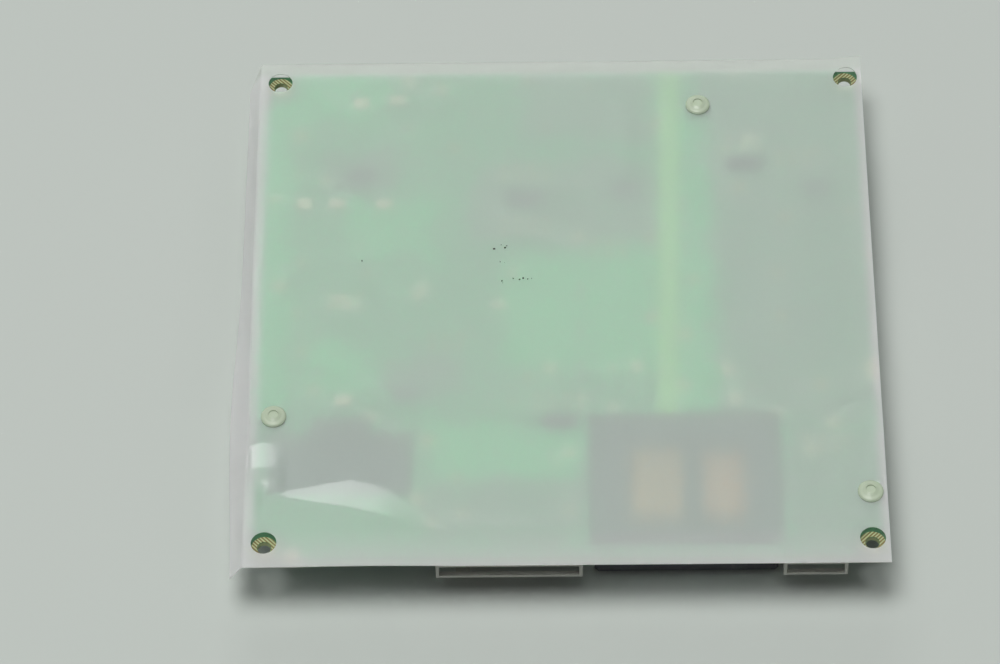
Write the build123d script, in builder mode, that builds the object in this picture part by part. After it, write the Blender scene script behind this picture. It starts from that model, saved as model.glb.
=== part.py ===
from build123d import *
from math import cos, radians, sin
import os

# Slim power supply board in millimetres, lying on its components with the solder side up.
# The origin is midway between the four mounting holes, on the solder face of the board.
# X runs to the right, Y to the back and Z up; the headers open at the front, towards -Y.

# Circuit board
board_width = 174.0
board_depth = 169.0
board_thickness = 1.6
board_corner_radius = 1.5
hole_inset_x = 4.5
hole_inset_y = 4.25
hole_diameter = 3.7
pad_diameter = 7.1
pad_thickness = 0.1
pad_bore_gap = 0.1
component_room = 15.8
board_left = -board_width / 2
board_right = board_width / 2
board_front = -board_depth / 2
board_back = board_depth / 2

# Insulation sheet, folded down along the left edge
sheet_thickness = 0.3
sheet_gap = 2.3
sheet_over_left = 0.8
sheet_over_right = 0.2
sheet_over_front = 3.6
sheet_over_back = 2.7
sheet_hole_diameter = 7.0
flap_length = 6.4
flap_angle = 50.0
flap_bend_radius = 0.8
flap_back_taper = 5.5

# Push rivets that hold the sheet to the board
rivet_left_inset = 6.0
rivet_left_y = -38.8
rivet_back_x = 39.2
rivet_back_inset = 14.2
rivet_right_inset = 4.4
rivet_right_y = -65.4
rivet_head_diameter = 7.0
rivet_head_rim = 0.5
rivet_head_height = 1.5
rivet_hole_diameter = 3.2
rivet_prong_width = 1.8
rivet_prong_reach = 1.15
rivet_barb_reach = 1.85
rivet_tip_reach = 0.95
rivet_barb_length = 2.4
rivet_pin_width = 1.0
rivet_pin_head_diameter = 2.6
rivet_pin_head_height = 0.5
rivet_pin_recess = 0.3
rivet_pin_clearance = 0.05

# Leads and solder
lead_width = 0.64
lead_clearance = 0.13
solder_width = 1.9
solder_height = 2.0
solder_taper = 17.0

# Transformer, sunk in its window
core_header_gap = 0.85
core_front_inset = 5.4
core_length = 50.4
core_width = 40.5
core_height = 13.0
core_below_board = 0.1
yoke_thickness = 8.0
outer_leg_width = 5.8
core_edge_chamfer = 1.0
centre_leg_width = 15.4
centre_leg_height = 5.2
core_gap = 0.2
bobbin_wall = 1.0
flange_thickness = 1.0
flange_width = 27.0
flange_height = 15.4
primary_width = 24.9
primary_height = 14.2
secondary_width = 23.4
secondary_height = 13.2
winding_corner = 2.4
winding_bore_gap = 0.05
partition_offset = 1.75
partition_width = 5.9
primary_end_gap = 1.0
winding_end_gap = 0.1
rail_width = 5.8
rail_depth = 24.0
rail_core_gap = 1.0
web_depth = 18.0
rail_pin_pitch = 5.0
rail_pin_count = 5
rail_pin_seat = 4.0
window_clearance = 1.5

# Bulk capacitor, lying in its own window
bulk_diameter = 18.0
bulk_length = 38.0
bulk_left_inset = 5.2
bulk_front_inset = 22.35
bulk_edge_chamfer = 1.2
bulk_crimp_offset = 4.0
bulk_crimp_width = 2.4
bulk_crimp_depth = 0.9
bulk_lead_pitch = 7.5
bulk_lead_reach = 5.8
bulk_window_clearance = 1.25

# Inrush thermistor, hanging in a bay of the capacitor's window
thermistor_bulk_offset = 19.3
thermistor_diameter = 15.0
thermistor_thickness = 4.2
thermistor_can_gap = 1.6
thermistor_above_board = 0.2
thermistor_lead_reach = 5.0
thermistor_lead_step = 2.5
thermistor_bay_clearance = 1.0

# Heat sinks, each a finned extrusion with its devices lying between it and the board
sink_width = 24.0
sink_wall = 1.5
sink_plate = 2.0
sink_fin = 1.2
sink_fin_pitch = 4.4
sink_post = 2.0
sink_post_inset = 4.0
device_wall_gap = 0.5
device_height = 4.5
device_width = 10.2
device_body_length = 9.2
device_tab_length = 6.3
device_tab_thickness = 1.3
device_edge = 0.4
device_lead_pitch = 2.54
device_lead_height = 2.7
device_lead_reach = 3.0
bridge_length = 30.0
bridge_width = 19.0
bridge_height = 3.0
bridge_corner = 2.5
bridge_lead_pitch = 7.5
bridge_lead_height = 1.5
clamp_width = 6.0
clamp_thickness = 1.2
clamp_overhang = 0.5
screw_diameter = 3.0
screw_head_width = 5.5
screw_head_height = 1.8
screw_board_gap = 0.4
screw_clearance = 0.15
primary_sink_x = -16.0
primary_sink_front = -32.0
primary_sink_back = 60.0
bridge_y = 42.0
diode_y = 19.0
switch_y = 5.0
half_bridge_y = (-9.0, -23.0)
secondary_sink_x = board_right - 3.0
secondary_sink_front = -36.0
secondary_sink_back = 24.0
rectifier_y = (-28.0, -12.0, 4.0)

# Box headers at the front edge
header_pitch = 2.5
header_end = 2.45
header_height = 6.1
header_depth = 11.5
header_overhang = 0.8
header_wall = 0.9
header_back_wall = 2.6
header_rail = 1.3
header_window_length = 5.2
header_rib_width = 3.8
wide_header_rib_inset = 5.4
header_pin_recess = 2.2
header_lead_reach = 1.6
wide_header_x = -16.05
wide_header_ways = 15
narrow_header_x = 67.2
narrow_header_ways = 6

# Wound parts with an upright winding: core halves, bobbin and winding
wound_top_gap = 0.3
wound_core_plate = 2.6
wound_core_leg = 3.4
wound_core_gap = 0.2
wound_flange = 1.0
wound_winding_corner = 2.5
wound_tube_wall = 1.0
wound_winding_gap = 0.4
wound_rail_depth = 4.5
wound_rail_gap = 0.6
wound_pin_inset = 3.0
choke_core_width = 32.0
choke_core_depth = 13.0
choke_post_width = 9.0
standby_point = (29.5, 54.0)
standby_core_width = 20.0
standby_core_depth = 8.0
standby_post_width = 5.0

# Line chokes: two U cores meet inside two wound bobbin tubes, on a base
line_choke_y = board_back - 37.5
choke_point = (-36.0, line_choke_y - 38.0)
line_choke_points = [(board_left + 21.0, line_choke_y), (-36.0, line_choke_y)]
frame_core_width = 24.0
frame_core_depth = 20.0
frame_core_leg = 5.0
frame_core_height = 6.0
frame_core_base_gap = 3.2
frame_winding_build = 2.6
frame_winding_corner = 1.6
frame_flange_thickness = 1.0
frame_flange_margin = 0.5
frame_core_clearance = 0.2
frame_base_thickness = 2.0
frame_lead_inset = 2.5

# Boxed parts, film capacitors and the fuse: place, width, depth, height and lead pitch of each
boxed_parts = {
    "line_capacitor_1": (-58.0, board_back - 19.5, 26.0, 9.0, 15.0, 22.5),
    "line_capacitor_2": (board_left + 19.0, 14.0, 26.0, 9.0, 15.0, 22.5),
    "bus_capacitor": (-26.0, board_front + 21.5, 18.0, 9.0, 14.0, 15.0),
    "resonant_capacitor": (-12.0, board_front + 34.5, 18.0, 7.5, 12.5, 15.0),
    "fuse": (-40.0, board_back - 6.0, 8.4, 4.0, 7.6, 5.08),
}
box_edge_chamfer = 0.8

# Standing electrolytic capacitors: diameter, height and places of each kind
output_row_x = secondary_sink_x - sink_width - 5.5
output_row_y = board_front + core_front_inset + core_width + 8.6
output_row_pitch = 11.5
can_sets = {
    "output_capacitors": (
        10.0,
        15.5,
        [
            (output_row_x - column * output_row_pitch, output_row_y + row * output_row_pitch)
            for row in range(3)
            for column in range(2)
        ],
    ),
    "standby_capacitors": (8.0, 12.5, [(52.0, board_back - 22.5), (64.0, board_back - 22.5)]),
    "control_capacitors": (8.0, 12.5, [(board_left + 15.0, -8.0), (board_left + 15.0, -22.0)]),
}
can_lead_pitch = 5.0

# Discs standing on their leads: diameter, thickness, lead pitch and places of each kind
disc_sets = {
    "varistor": (13.0, 4.5, 7.5, [(-22.0, board_back - 14.5)]),
    "noise_capacitors": (
        9.0,
        3.4,
        10.0,
        [(-8.0, board_back - 5.5), (-8.0, board_back - 13.5), (29.5, 8.0)],
    ),
}
disc_stand = 1.8
disc_lead_straight = 0.8

# Mains header: a base with a locking wall, and two bare pins
mains_point = (-64.0, board_back - 7.0)
mains_width = 11.8
mains_depth = 8.5
mains_base_height = 3.6
mains_wall = 1.4
mains_wall_height = 10.5
mains_pin_pitch = 7.9
mains_pin_height = 9.4

# Optocouplers across the isolation strip
optocoupler_x = 29.5
optocoupler_y = (36.0, 28.0, 20.0)
optocoupler_width = 4.6
optocoupler_length = 6.5
optocoupler_height = 3.5
optocoupler_board_gap = 0.4
optocoupler_row_pitch = 10.16
optocoupler_lead_pitch = 2.54
optocoupler_lead_height = 1.6
optocoupler_edge = 0.3

# Output chokes, sleeved drums standing on the board
output_choke_points = [(48.0, 22.0), (48.0, 37.0)]
output_choke_diameter = 12.0
output_choke_height = 13.5

# Power resistors, lying across the board, and jumper wires
resistor_points = [(-30.0, line_choke_y - 71.0), (-30.0, line_choke_y - 78.0)]
resistor_diameter = 4.2
resistor_length = 12.0
resistor_board_gap = 1.0
resistor_lead_reach = 3.0
jumper_spans = [
    ((-56.0, line_choke_y - 60.0), (-42.0, line_choke_y - 60.0)),
    ((-56.0, line_choke_y - 65.5), (-42.0, line_choke_y - 65.5)),
    ((-56.0, line_choke_y - 71.0), (-42.0, line_choke_y - 71.0)),
    ((-4.0, board_back - 18.5), (14.0, board_back - 18.5)),
    ((-4.0, board_back - 12.5), (14.0, board_back - 12.5)),
    ((50.0, board_back - 12.5), (68.0, board_back - 12.5)),
    ((50.0, board_back - 6.5), (68.0, board_back - 6.5)),
    ((60.0, 34.0), (76.0, 34.0)),
    ((60.0, 46.0), (76.0, 46.0)),
]
jumper_stand = 0.6

# Parts on the solder side
chip_sets = {
    "control_chips": ([(-11.2, 38.0), (-2.0, -40.0), (52.0, 50.0)], 9.9, 3.9, 1.5),
    "surface_diodes": (
        [(72.2, 40.8), (board_left + 28.8, line_choke_y - 0.2), (-45.0, -30.0), (18.0, 41.0)],
        7.0,
        3.6,
        2.0,
    ),
    "large_chip_capacitors": (
        [
            (board_left + 12.6, line_choke_y - 10.6),
            (board_left + 21.8, line_choke_y - 10.6),
            (-51.6, line_choke_y - 11.0),
            (-58.7, board_back - 11.1),
            (-48.1, board_back - 10.1),
            (-62.0, -32.4),
        ],
        4.5,
        3.2,
        1.5,
    ),
}
chip_leg_pitch = 1.27
chip_leg_count = 4
chip_leg_width = 0.42
chip_leg_height = 0.25
chip_leg_reach = 1.1
small_chip_length = 2.0
small_chip_width = 1.25
small_chip_height = 0.5
small_chip_pitch_x = 4.0
small_chip_pitch_y = 3.6
small_chip_groups = [
    ((-11.2, 47.5), 4, 2),
    ((-11.2, 28.5), 4, 2),
    ((-62.0, 2.0), 3, 2),
    ((-33.5, -12.0), 3, 2),
    ((-2.0, -33.0), 4, 2),
    ((66.0, 52.0), 3, 2),
    ((52.0, 57.5), 3, 2),
    ((70.0, -48.0), 3, 2),
    ((12.5, 20.0), 3, 2),
]

component_face = -board_thickness
rest_level = component_face - component_room
lead_hole = lead_width + 2 * lead_clearance
mounting_holes = GridLocations(board_width - 2 * hole_inset_x, board_depth - 2 * hole_inset_y, 2, 2)
rivet_points = [
    (board_left + rivet_left_inset, rivet_left_y),
    (rivet_back_x, board_back - rivet_back_inset),
    (board_right - rivet_right_inset, rivet_right_y),
]
solder_points = []
pin_points = []

os.makedirs("parts", exist_ok=True)


def save(piece, label):
    """Labels a finished piece and writes it to its own STEP file."""
    piece.label = label
    export_step(piece, f"parts/{label}.step")


def bent_lead(plane, points):
    """Adds one square lead that follows the points in the plane."""
    with BuildSketch(plane) as section:
        with BuildLine() as route:
            Polyline(*points)
        trace(route.line, lead_width)
    extrude(section.sketch, lead_width / 2, both=True)


def header_length(ways):
    """Gives the width of a header's housing from its number of ways."""
    return header_pitch * (ways - 1) + 2 * header_end


# Insulation sheet: one bent section, then the holes and the tapered end of its flap

sheet_left = board_left - sheet_over_left
sheet_right = board_right + sheet_over_right
sheet_front = board_front - sheet_over_front
sheet_back = board_back + sheet_over_back
sheet_top = sheet_gap + sheet_thickness
sheet_middle = sheet_gap + sheet_thickness / 2
flap_reach = flap_length * cos(radians(flap_angle))
flap_drop = flap_length * sin(radians(flap_angle))

with BuildPart() as insulation_sheet:
    with BuildSketch(Plane.XZ.offset(-sheet_back)):
        with BuildLine() as fold:
            FilletPolyline(
                (sheet_right, sheet_middle),
                (sheet_left, sheet_middle),
                (sheet_left - flap_reach, sheet_middle - flap_drop),
                radius=flap_bend_radius,
            )
        trace(fold.line, sheet_thickness)
    extrude(amount=sheet_back - sheet_front)
    with BuildSketch(Plane.XY.offset(sheet_gap)):
        with mounting_holes:
            Circle(sheet_hole_diameter / 2)
        with Locations(*rivet_points):
            Circle(rivet_hole_diameter / 2)
    extrude(amount=sheet_thickness, mode=Mode.SUBTRACT)
    with BuildSketch(Plane.XY.offset(sheet_top)):
        with BuildLine():
            Polyline(
                (sheet_left, sheet_back),
                (sheet_left - flap_length, sheet_back),
                (sheet_left - flap_length, sheet_back - flap_back_taper * flap_length / flap_reach),
                close=True,
            )
        make_face()
    extrude(amount=-2 * flap_length, mode=Mode.SUBTRACT)
save(insulation_sheet.part, "insulation_sheet")


# Push rivets: a domed head on two barbed prongs, and a pin driven down between them

rivet_tip = component_face - rivet_barb_length
rivet_crown = sheet_top + rivet_head_height
pin_seat = rivet_crown - rivet_pin_recess - rivet_pin_head_height
pin_room = rivet_pin_width / 2 + rivet_pin_clearance
rivet_counterbore = rivet_pin_head_diameter / 2 + rivet_pin_clearance

with BuildPart() as grommet:
    with BuildSketch(Plane.XZ):
        with BuildLine():
            Polyline(
                (0, pin_seat),
                (0, sheet_top),
                (rivet_head_diameter / 2, sheet_top),
                (rivet_head_diameter / 2, sheet_top + rivet_head_rim),
                (rivet_counterbore, rivet_crown),
                (rivet_counterbore, pin_seat),
                close=True,
            )
        make_face()
    revolve(axis=Axis.Z)
    with BuildSketch(Plane.XZ) as prongs:
        with BuildLine():
            Polyline(
                (pin_room, sheet_top),
                (rivet_prong_reach, sheet_top),
                (rivet_prong_reach, component_face),
                (rivet_barb_reach, component_face),
                (rivet_tip_reach, rivet_tip),
                (pin_room, rivet_tip),
                close=True,
            )
        make_face()
        mirror(about=Plane.YZ)
    extrude(amount=rivet_prong_width / 2, both=True)
    with BuildSketch(Plane.XY.offset(sheet_top)):
        Rectangle(2 * pin_room, 2 * pin_room)
    extrude(amount=rivet_head_height, mode=Mode.SUBTRACT)
with BuildPart() as push_rivet_grommets:
    with Locations(*rivet_points):
        add(grommet.part)
save(push_rivet_grommets.part, "push_rivet_grommets")

with BuildPart() as push_rivet_pins:
    with BuildSketch(Plane.XY.offset(rivet_tip)):
        with Locations(*rivet_points):
            Rectangle(rivet_pin_width, rivet_pin_width)
    extrude(amount=pin_seat - rivet_tip)
    with BuildSketch(Plane.XY.offset(pin_seat)):
        with Locations(*rivet_points):
            Circle(rivet_pin_head_diameter / 2)
    extrude(amount=rivet_pin_head_height)
save(push_rivet_pins.part, "push_rivet_pins")

with BuildPart() as mounting_pads:
    with BuildSketch():
        with mounting_holes:
            Circle(pad_diameter / 2)
            Circle(hole_diameter / 2 + pad_bore_gap, mode=Mode.SUBTRACT)
    extrude(amount=pad_thickness)
save(mounting_pads.part, "mounting_pads")


# Transformer: two E cores meet on their legs inside a bobbin with a wide partition

core_right = narrow_header_x - header_length(narrow_header_ways) / 2 - core_header_gap
core_left = core_right - core_length
core_centre_x = core_right - core_length / 2
core_centre_y = board_front + core_front_inset + core_width / 2
core_top = component_face - core_below_board
core_axis_z = core_top - core_height / 2
core_window_left = core_left + yoke_thickness
core_window_right = core_right - yoke_thickness
outer_leg_y = (core_width - outer_leg_width) / 2


def core_half(label, yoke_face, side):
    """Makes one E core; side is 1 where its legs run to the right, and -1 to the left."""
    with BuildPart() as half:
        with BuildSketch(Plane.XY.offset(core_top)):
            with Locations((yoke_face + side * yoke_thickness / 2, core_centre_y)):
                Rectangle(yoke_thickness, core_width)
            leg_length = core_length / 2 - yoke_thickness
            with Locations((yoke_face + side * (yoke_thickness + leg_length / 2), core_centre_y)):
                with GridLocations(0, 2 * outer_leg_y, 1, 2):
                    Rectangle(leg_length, outer_leg_width)
        extrude(amount=-core_height)
        chamfer(half.edges().filter_by(Axis.Z).group_by(Axis.X)[0 if side > 0 else -1], core_edge_chamfer)
        with BuildSketch(Plane.YZ.offset(core_centre_x)):
            with Locations((core_centre_y, core_axis_z)):
                Rectangle(centre_leg_width, centre_leg_height)
        extrude(amount=-side * leg_length)
    save(half.part, label)


core_half("transformer_core_left", core_left, 1)
core_half("transformer_core_right", core_right, -1)

bore_width = centre_leg_width + 2 * core_gap
bore_height = centre_leg_height + 2 * core_gap
tube_width = bore_width + 2 * bobbin_wall
tube_height = bore_height + 2 * bobbin_wall
bobbin_left = core_window_left + core_gap
bobbin_right = core_window_right - core_gap
partition_start_x = core_centre_x + partition_offset - partition_width / 2
partition_end_x = partition_start_x + partition_width
primary_start_x = bobbin_left + flange_thickness + primary_end_gap
secondary_end_x = bobbin_right - flange_thickness - 2 * winding_end_gap
flange_bottom = core_axis_z - flange_height / 2
web_top = core_axis_z - core_height / 2 - core_gap
left_rail_x = core_left - rail_core_gap - rail_width / 2
right_rail_x = core_right + rail_core_gap + rail_width / 2
rail_pin_y = [
    core_centre_y + (i - (rail_pin_count - 1) / 2) * rail_pin_pitch for i in range(rail_pin_count)
]
transformer_pin_points = [(x, y) for x in (left_rail_x, right_rail_x) for y in rail_pin_y]

with BuildPart() as transformer_bobbin:
    with BuildSketch(Plane.YZ.offset(bobbin_left)):
        with Locations((core_centre_y, core_axis_z)):
            Rectangle(tube_width, tube_height)
    extrude(amount=bobbin_right - bobbin_left)
    flange_starts = (
        bobbin_left,
        partition_start_x,
        partition_end_x - flange_thickness,
        bobbin_right - flange_thickness,
    )
    for flange_start in flange_starts:
        with BuildSketch(Plane.YZ.offset(flange_start)):
            with Locations((core_centre_y, core_axis_z)):
                Rectangle(flange_width, flange_height)
        extrude(amount=flange_thickness)
    with BuildSketch(Plane.YZ.offset(bobbin_left)):
        with Locations((core_centre_y, core_axis_z)):
            Rectangle(bore_width, bore_height)
    extrude(amount=bobbin_right - bobbin_left, mode=Mode.SUBTRACT)
    for rail_x, flange_x in ((left_rail_x, bobbin_left), (right_rail_x, bobbin_right)):
        with BuildSketch(Plane.XY.offset(flange_bottom)):
            with Locations(((rail_x + flange_x) / 2, core_centre_y)):
                Rectangle(abs(rail_x - flange_x), web_depth)
        extrude(amount=web_top - flange_bottom)
        with BuildSketch(Plane.XY.offset(flange_bottom)):
            with Locations((rail_x, core_centre_y)):
                Rectangle(rail_width, rail_depth)
        extrude(amount=component_face - flange_bottom)
    with BuildSketch(Plane.XY.offset(component_face)):
        with Locations(*transformer_pin_points):
            Rectangle(lead_width, lead_width)
    extrude(amount=-rail_pin_seat, mode=Mode.SUBTRACT)
save(transformer_bobbin.part, "transformer_bobbin")

pin_points.extend(transformer_pin_points)
with BuildPart() as transformer_pins:
    with BuildSketch(Plane.XY.offset(component_face - rail_pin_seat)):
        with Locations(*transformer_pin_points):
            Rectangle(lead_width, lead_width)
    extrude(amount=rail_pin_seat + board_thickness)
save(transformer_pins.part, "transformer_pins")


def wound_section(label, start_x, end_x, width, height):
    """Makes one wound section round the bobbin's tube."""
    with BuildPart() as winding:
        with BuildSketch(Plane.YZ.offset(start_x)):
            with Locations((core_centre_y, core_axis_z)):
                Rectangle(width, height)
        extrude(amount=end_x - start_x)
        chamfer(winding.edges().filter_by(Axis.X), winding_corner)
        with BuildSketch(Plane.YZ.offset(start_x)):
            with Locations((core_centre_y, core_axis_z)):
                bore_gap = 2 * winding_bore_gap
                Rectangle(tube_width + bore_gap, tube_height + bore_gap)
        extrude(amount=end_x - start_x, mode=Mode.SUBTRACT)
    save(winding.part, label)


primary_end_x = partition_start_x - winding_end_gap
secondary_start_x = partition_end_x + winding_end_gap
wound_section("primary_winding", primary_start_x, primary_end_x, primary_width, primary_height)
wound_section(
    "secondary_winding", secondary_start_x, secondary_end_x, secondary_width, secondary_height
)


# Bulk capacitor: a sleeved can on its side, crimped near the end that its leads leave

bulk_left_x = board_left + bulk_left_inset
bulk_centre_y = board_front + bulk_front_inset + bulk_diameter / 2
bulk_axis_z = rest_level + bulk_diameter / 2
bulk_right_x = bulk_left_x + bulk_length
bulk_axis = Axis((bulk_left_x, bulk_centre_y, bulk_axis_z), (1, 0, 0))

with BuildPart() as bulk_capacitor:
    with BuildSketch(Plane.YZ.offset(bulk_left_x)):
        with Locations((bulk_centre_y, bulk_axis_z)):
            Circle(bulk_diameter / 2)
    extrude(amount=bulk_length)
    chamfer(bulk_capacitor.edges().group_by(Axis.X)[0], bulk_edge_chamfer)
    with BuildSketch(Plane.XZ.offset(-bulk_centre_y)):
        with Locations((bulk_right_x - bulk_crimp_offset, bulk_axis_z + bulk_diameter / 2)):
            Polygon(
                (-bulk_crimp_width / 2, 0),
                (0, -bulk_crimp_depth),
                (bulk_crimp_width / 2, 0),
                align=None,
            )
    revolve(axis=bulk_axis, mode=Mode.SUBTRACT)
save(bulk_capacitor.part, "bulk_capacitor")

bulk_lead_x = bulk_right_x + bulk_lead_reach
bulk_lead_y = [bulk_centre_y - bulk_lead_pitch / 2, bulk_centre_y + bulk_lead_pitch / 2]
pin_points.extend((bulk_lead_x, y) for y in bulk_lead_y)
with BuildPart() as bulk_capacitor_leads:
    for lead_y in bulk_lead_y:
        bent_lead(
            Plane.XZ.offset(-lead_y),
            [(bulk_right_x, bulk_axis_z), (bulk_lead_x, bulk_axis_z), (bulk_lead_x, 0)],
        )
save(bulk_capacitor_leads.part, "bulk_capacitor_leads")


# Inrush thermistor: a disc on edge behind the bulk capacitor, its leads bent up to the board

thermistor_front = bulk_centre_y + bulk_diameter / 2 + thermistor_can_gap
thermistor_y = thermistor_front + thermistor_thickness / 2
thermistor_z = thermistor_above_board - thermistor_diameter / 2
thermistor_centre_x = bulk_left_x + thermistor_bulk_offset
thermistor_edge_x = thermistor_centre_x + thermistor_diameter / 2
near_lead_x = thermistor_edge_x + thermistor_lead_reach
far_lead_x = near_lead_x + thermistor_lead_step
near_lead_z = thermistor_z + thermistor_lead_step
far_lead_z = thermistor_z - thermistor_lead_step
solder_points.extend([(near_lead_x, thermistor_y), (far_lead_x, thermistor_y)])

with BuildPart() as inrush_thermistor:
    with BuildSketch(Plane.XZ.offset(-thermistor_y)):
        with Locations((thermistor_centre_x, thermistor_z)):
            Circle(thermistor_diameter / 2)
    extrude(amount=thermistor_thickness / 2, both=True)
    for lead_x, lead_z in ((near_lead_x, near_lead_z), (far_lead_x, far_lead_z)):
        bent_lead(
            Plane.XZ.offset(-thermistor_y),
            [(thermistor_centre_x, lead_z), (lead_x, lead_z), (lead_x, component_face)],
        )
save(inrush_thermistor.part, "inrush_thermistor")


# Heat sinks and the devices screwed to them

plate_top = component_face - screw_board_gap - screw_head_height - clamp_thickness - device_height
plate_bottom = plate_top - sink_plate
screw_seats = []


def heat_sink(label, wall_x, side, front, back, screw_points):
    """Makes a finned extrusion whose wall stands on the board; side points to its open edge."""
    with BuildPart() as sink:
        with BuildSketch(Plane.XZ.offset(-back)):
            with Locations((wall_x + side * sink_width / 2, plate_top - sink_plate / 2)):
                Rectangle(sink_width, sink_plate)
            wall_height = component_face - plate_bottom
            with Locations((wall_x + side * sink_wall / 2, component_face - wall_height / 2)):
                Rectangle(sink_wall, wall_height)
            fin_height = plate_bottom - rest_level
            for i in range(int((sink_width - sink_fin) / sink_fin_pitch) + 1):
                fin_x = wall_x + side * (sink_fin / 2 + i * sink_fin_pitch)
                with Locations((fin_x, rest_level + fin_height / 2)):
                    Rectangle(sink_fin, fin_height)
        extrude(amount=back - front)
        with BuildSketch(Plane.XY.offset(plate_top)):
            post_x = wall_x + side * (sink_width - sink_post / 2)
            post_y = (front + sink_post / 2, back - sink_post / 2)
            with Locations(*[(post_x, y) for y in post_y]):
                Rectangle(sink_post, sink_post)
        extrude(amount=component_face - plate_top)
        foot_x = wall_x + side * sink_wall / 2
        solder_points.extend((foot_x, y) for y in (front + sink_post_inset, back - sink_post_inset))
        solder_points.extend((post_x, y) for y in post_y)
        with BuildSketch(Plane.XY.offset(plate_top)):
            with Locations(*screw_points):
                Circle(screw_diameter / 2)
        extrude(amount=-sink_plate, mode=Mode.SUBTRACT)
    save(sink.part, label)


def flat_devices(label, wall_x, side, centres, lead_offsets=(-1, 0, 1)):
    """Makes tabbed power devices lying on a sink's plate, one at each y."""
    tab_x = wall_x + side * (sink_wall + device_wall_gap)
    body_x = tab_x + side * device_tab_length
    end_x = body_x + side * device_body_length
    lead_x = end_x + side * device_lead_reach
    lead_z = plate_top + device_lead_height
    with BuildPart() as devices:
        with BuildSketch(Plane.XY.offset(plate_top)):
            with Locations(*[((tab_x + end_x) / 2, y) for y in centres]):
                Rectangle(abs(end_x - tab_x), device_width)
        extrude(amount=device_tab_thickness)
        with BuildSketch(Plane.XY.offset(plate_top)):
            with Locations(*[((body_x + end_x) / 2, y) for y in centres]):
                Rectangle(device_body_length, device_width)
        extrude(amount=device_height)
        chamfer(devices.edges().group_by(Axis.Z)[-1], device_edge)
        for lead_y in [y + count * device_lead_pitch for y in centres for count in lead_offsets]:
            solder_points.append((lead_x, lead_y))
            bent_lead(
                Plane.XZ.offset(-lead_y),
                [(end_x, lead_z), (lead_x, lead_z), (lead_x, component_face)],
            )
    save(devices.part, label)


def clamp_bar(wall_x, side, centres):
    """Adds a bar across the devices at the given y, sorted from front to back; gives its screw points."""
    bar_x = wall_x + side * (sink_wall + device_wall_gap + device_tab_length + device_body_length / 2)
    reach = device_width / 2 + clamp_overhang
    bar_length = centres[-1] - centres[0] + 2 * reach
    screw_points = [
        (bar_x, (centres[0] + centres[1]) / 2),
        (bar_x, (centres[-2] + centres[-1]) / 2),
    ]
    with BuildSketch(Plane.XY.offset(plate_top + device_height)) as bar:
        with Locations((bar_x, (centres[0] + centres[-1]) / 2)):
            Rectangle(clamp_width, bar_length)
        with Locations(*screw_points):
            Circle(screw_diameter / 2 + screw_clearance, mode=Mode.SUBTRACT)
    extrude(bar.sketch, amount=clamp_thickness)
    screw_seats.extend((point, device_height + clamp_thickness) for point in screw_points)
    return screw_points


flat_devices("power_factor_diode", primary_sink_x, 1, [diode_y], (-1, 1))
flat_devices("power_factor_switch", primary_sink_x, 1, [switch_y])
flat_devices("half_bridge_switches", primary_sink_x, 1, half_bridge_y)
flat_devices("output_rectifiers", secondary_sink_x, -1, rectifier_y)
with BuildPart() as device_clamps:
    primary_screws = clamp_bar(primary_sink_x, 1, sorted([diode_y, switch_y, *half_bridge_y]))
    secondary_screws = clamp_bar(secondary_sink_x, -1, sorted(rectifier_y))
save(device_clamps.part, "device_clamps")

bridge_left = primary_sink_x + sink_wall + device_wall_gap
bridge_right = bridge_left + bridge_width
bridge_screw = ((bridge_left + bridge_right) / 2, bridge_y)
bridge_lead_x = bridge_right + device_lead_reach
primary_screws.append(bridge_screw)
screw_seats.append((bridge_screw, bridge_height))

with BuildPart() as bridge_rectifier:
    with BuildSketch(Plane.XY.offset(plate_top)):
        with Locations(bridge_screw):
            Rectangle(bridge_width, bridge_length)
            Circle(screw_diameter / 2 + screw_clearance, mode=Mode.SUBTRACT)
    extrude(amount=bridge_height)
    chamfer(bridge_rectifier.edges().filter_by(Axis.Z).sort_by(Axis.X)[-1], bridge_corner)
    for i in range(4):
        lead_y = bridge_y + (i - 1.5) * bridge_lead_pitch
        lead_z = plate_top + bridge_lead_height
        solder_points.append((bridge_lead_x, lead_y))
        bent_lead(
            Plane.XZ.offset(-lead_y),
            [(bridge_right, lead_z), (bridge_lead_x, lead_z), (bridge_lead_x, component_face)],
        )
save(bridge_rectifier.part, "bridge_rectifier")

heat_sink(
    "primary_heat_sink", primary_sink_x, 1, primary_sink_front, primary_sink_back, primary_screws
)
heat_sink(
    "secondary_heat_sink",
    secondary_sink_x,
    -1,
    secondary_sink_front,
    secondary_sink_back,
    secondary_screws,
)

with BuildPart() as heat_sink_screws:
    for screw_point, grip in screw_seats:
        seat_z = plate_top + grip
        with BuildSketch(Plane.XY.offset(plate_bottom)):
            with Locations(screw_point):
                Circle(screw_diameter / 2)
        extrude(amount=seat_z - plate_bottom)
        with BuildSketch(Plane.XY.offset(seat_z)):
            with Locations(screw_point):
                RegularPolygon(screw_head_width / 2, 6, major_radius=False)
        extrude(amount=screw_head_height)
save(heat_sink_screws.part, "heat_sink_screws")


# Box headers: a nylon shroud open to the front, and square pins bent up through the board

header_mouth = board_front - header_overhang
header_back = header_mouth + header_depth
header_bottom = component_face - header_height
header_pin_z = component_face - header_height / 2


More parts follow.
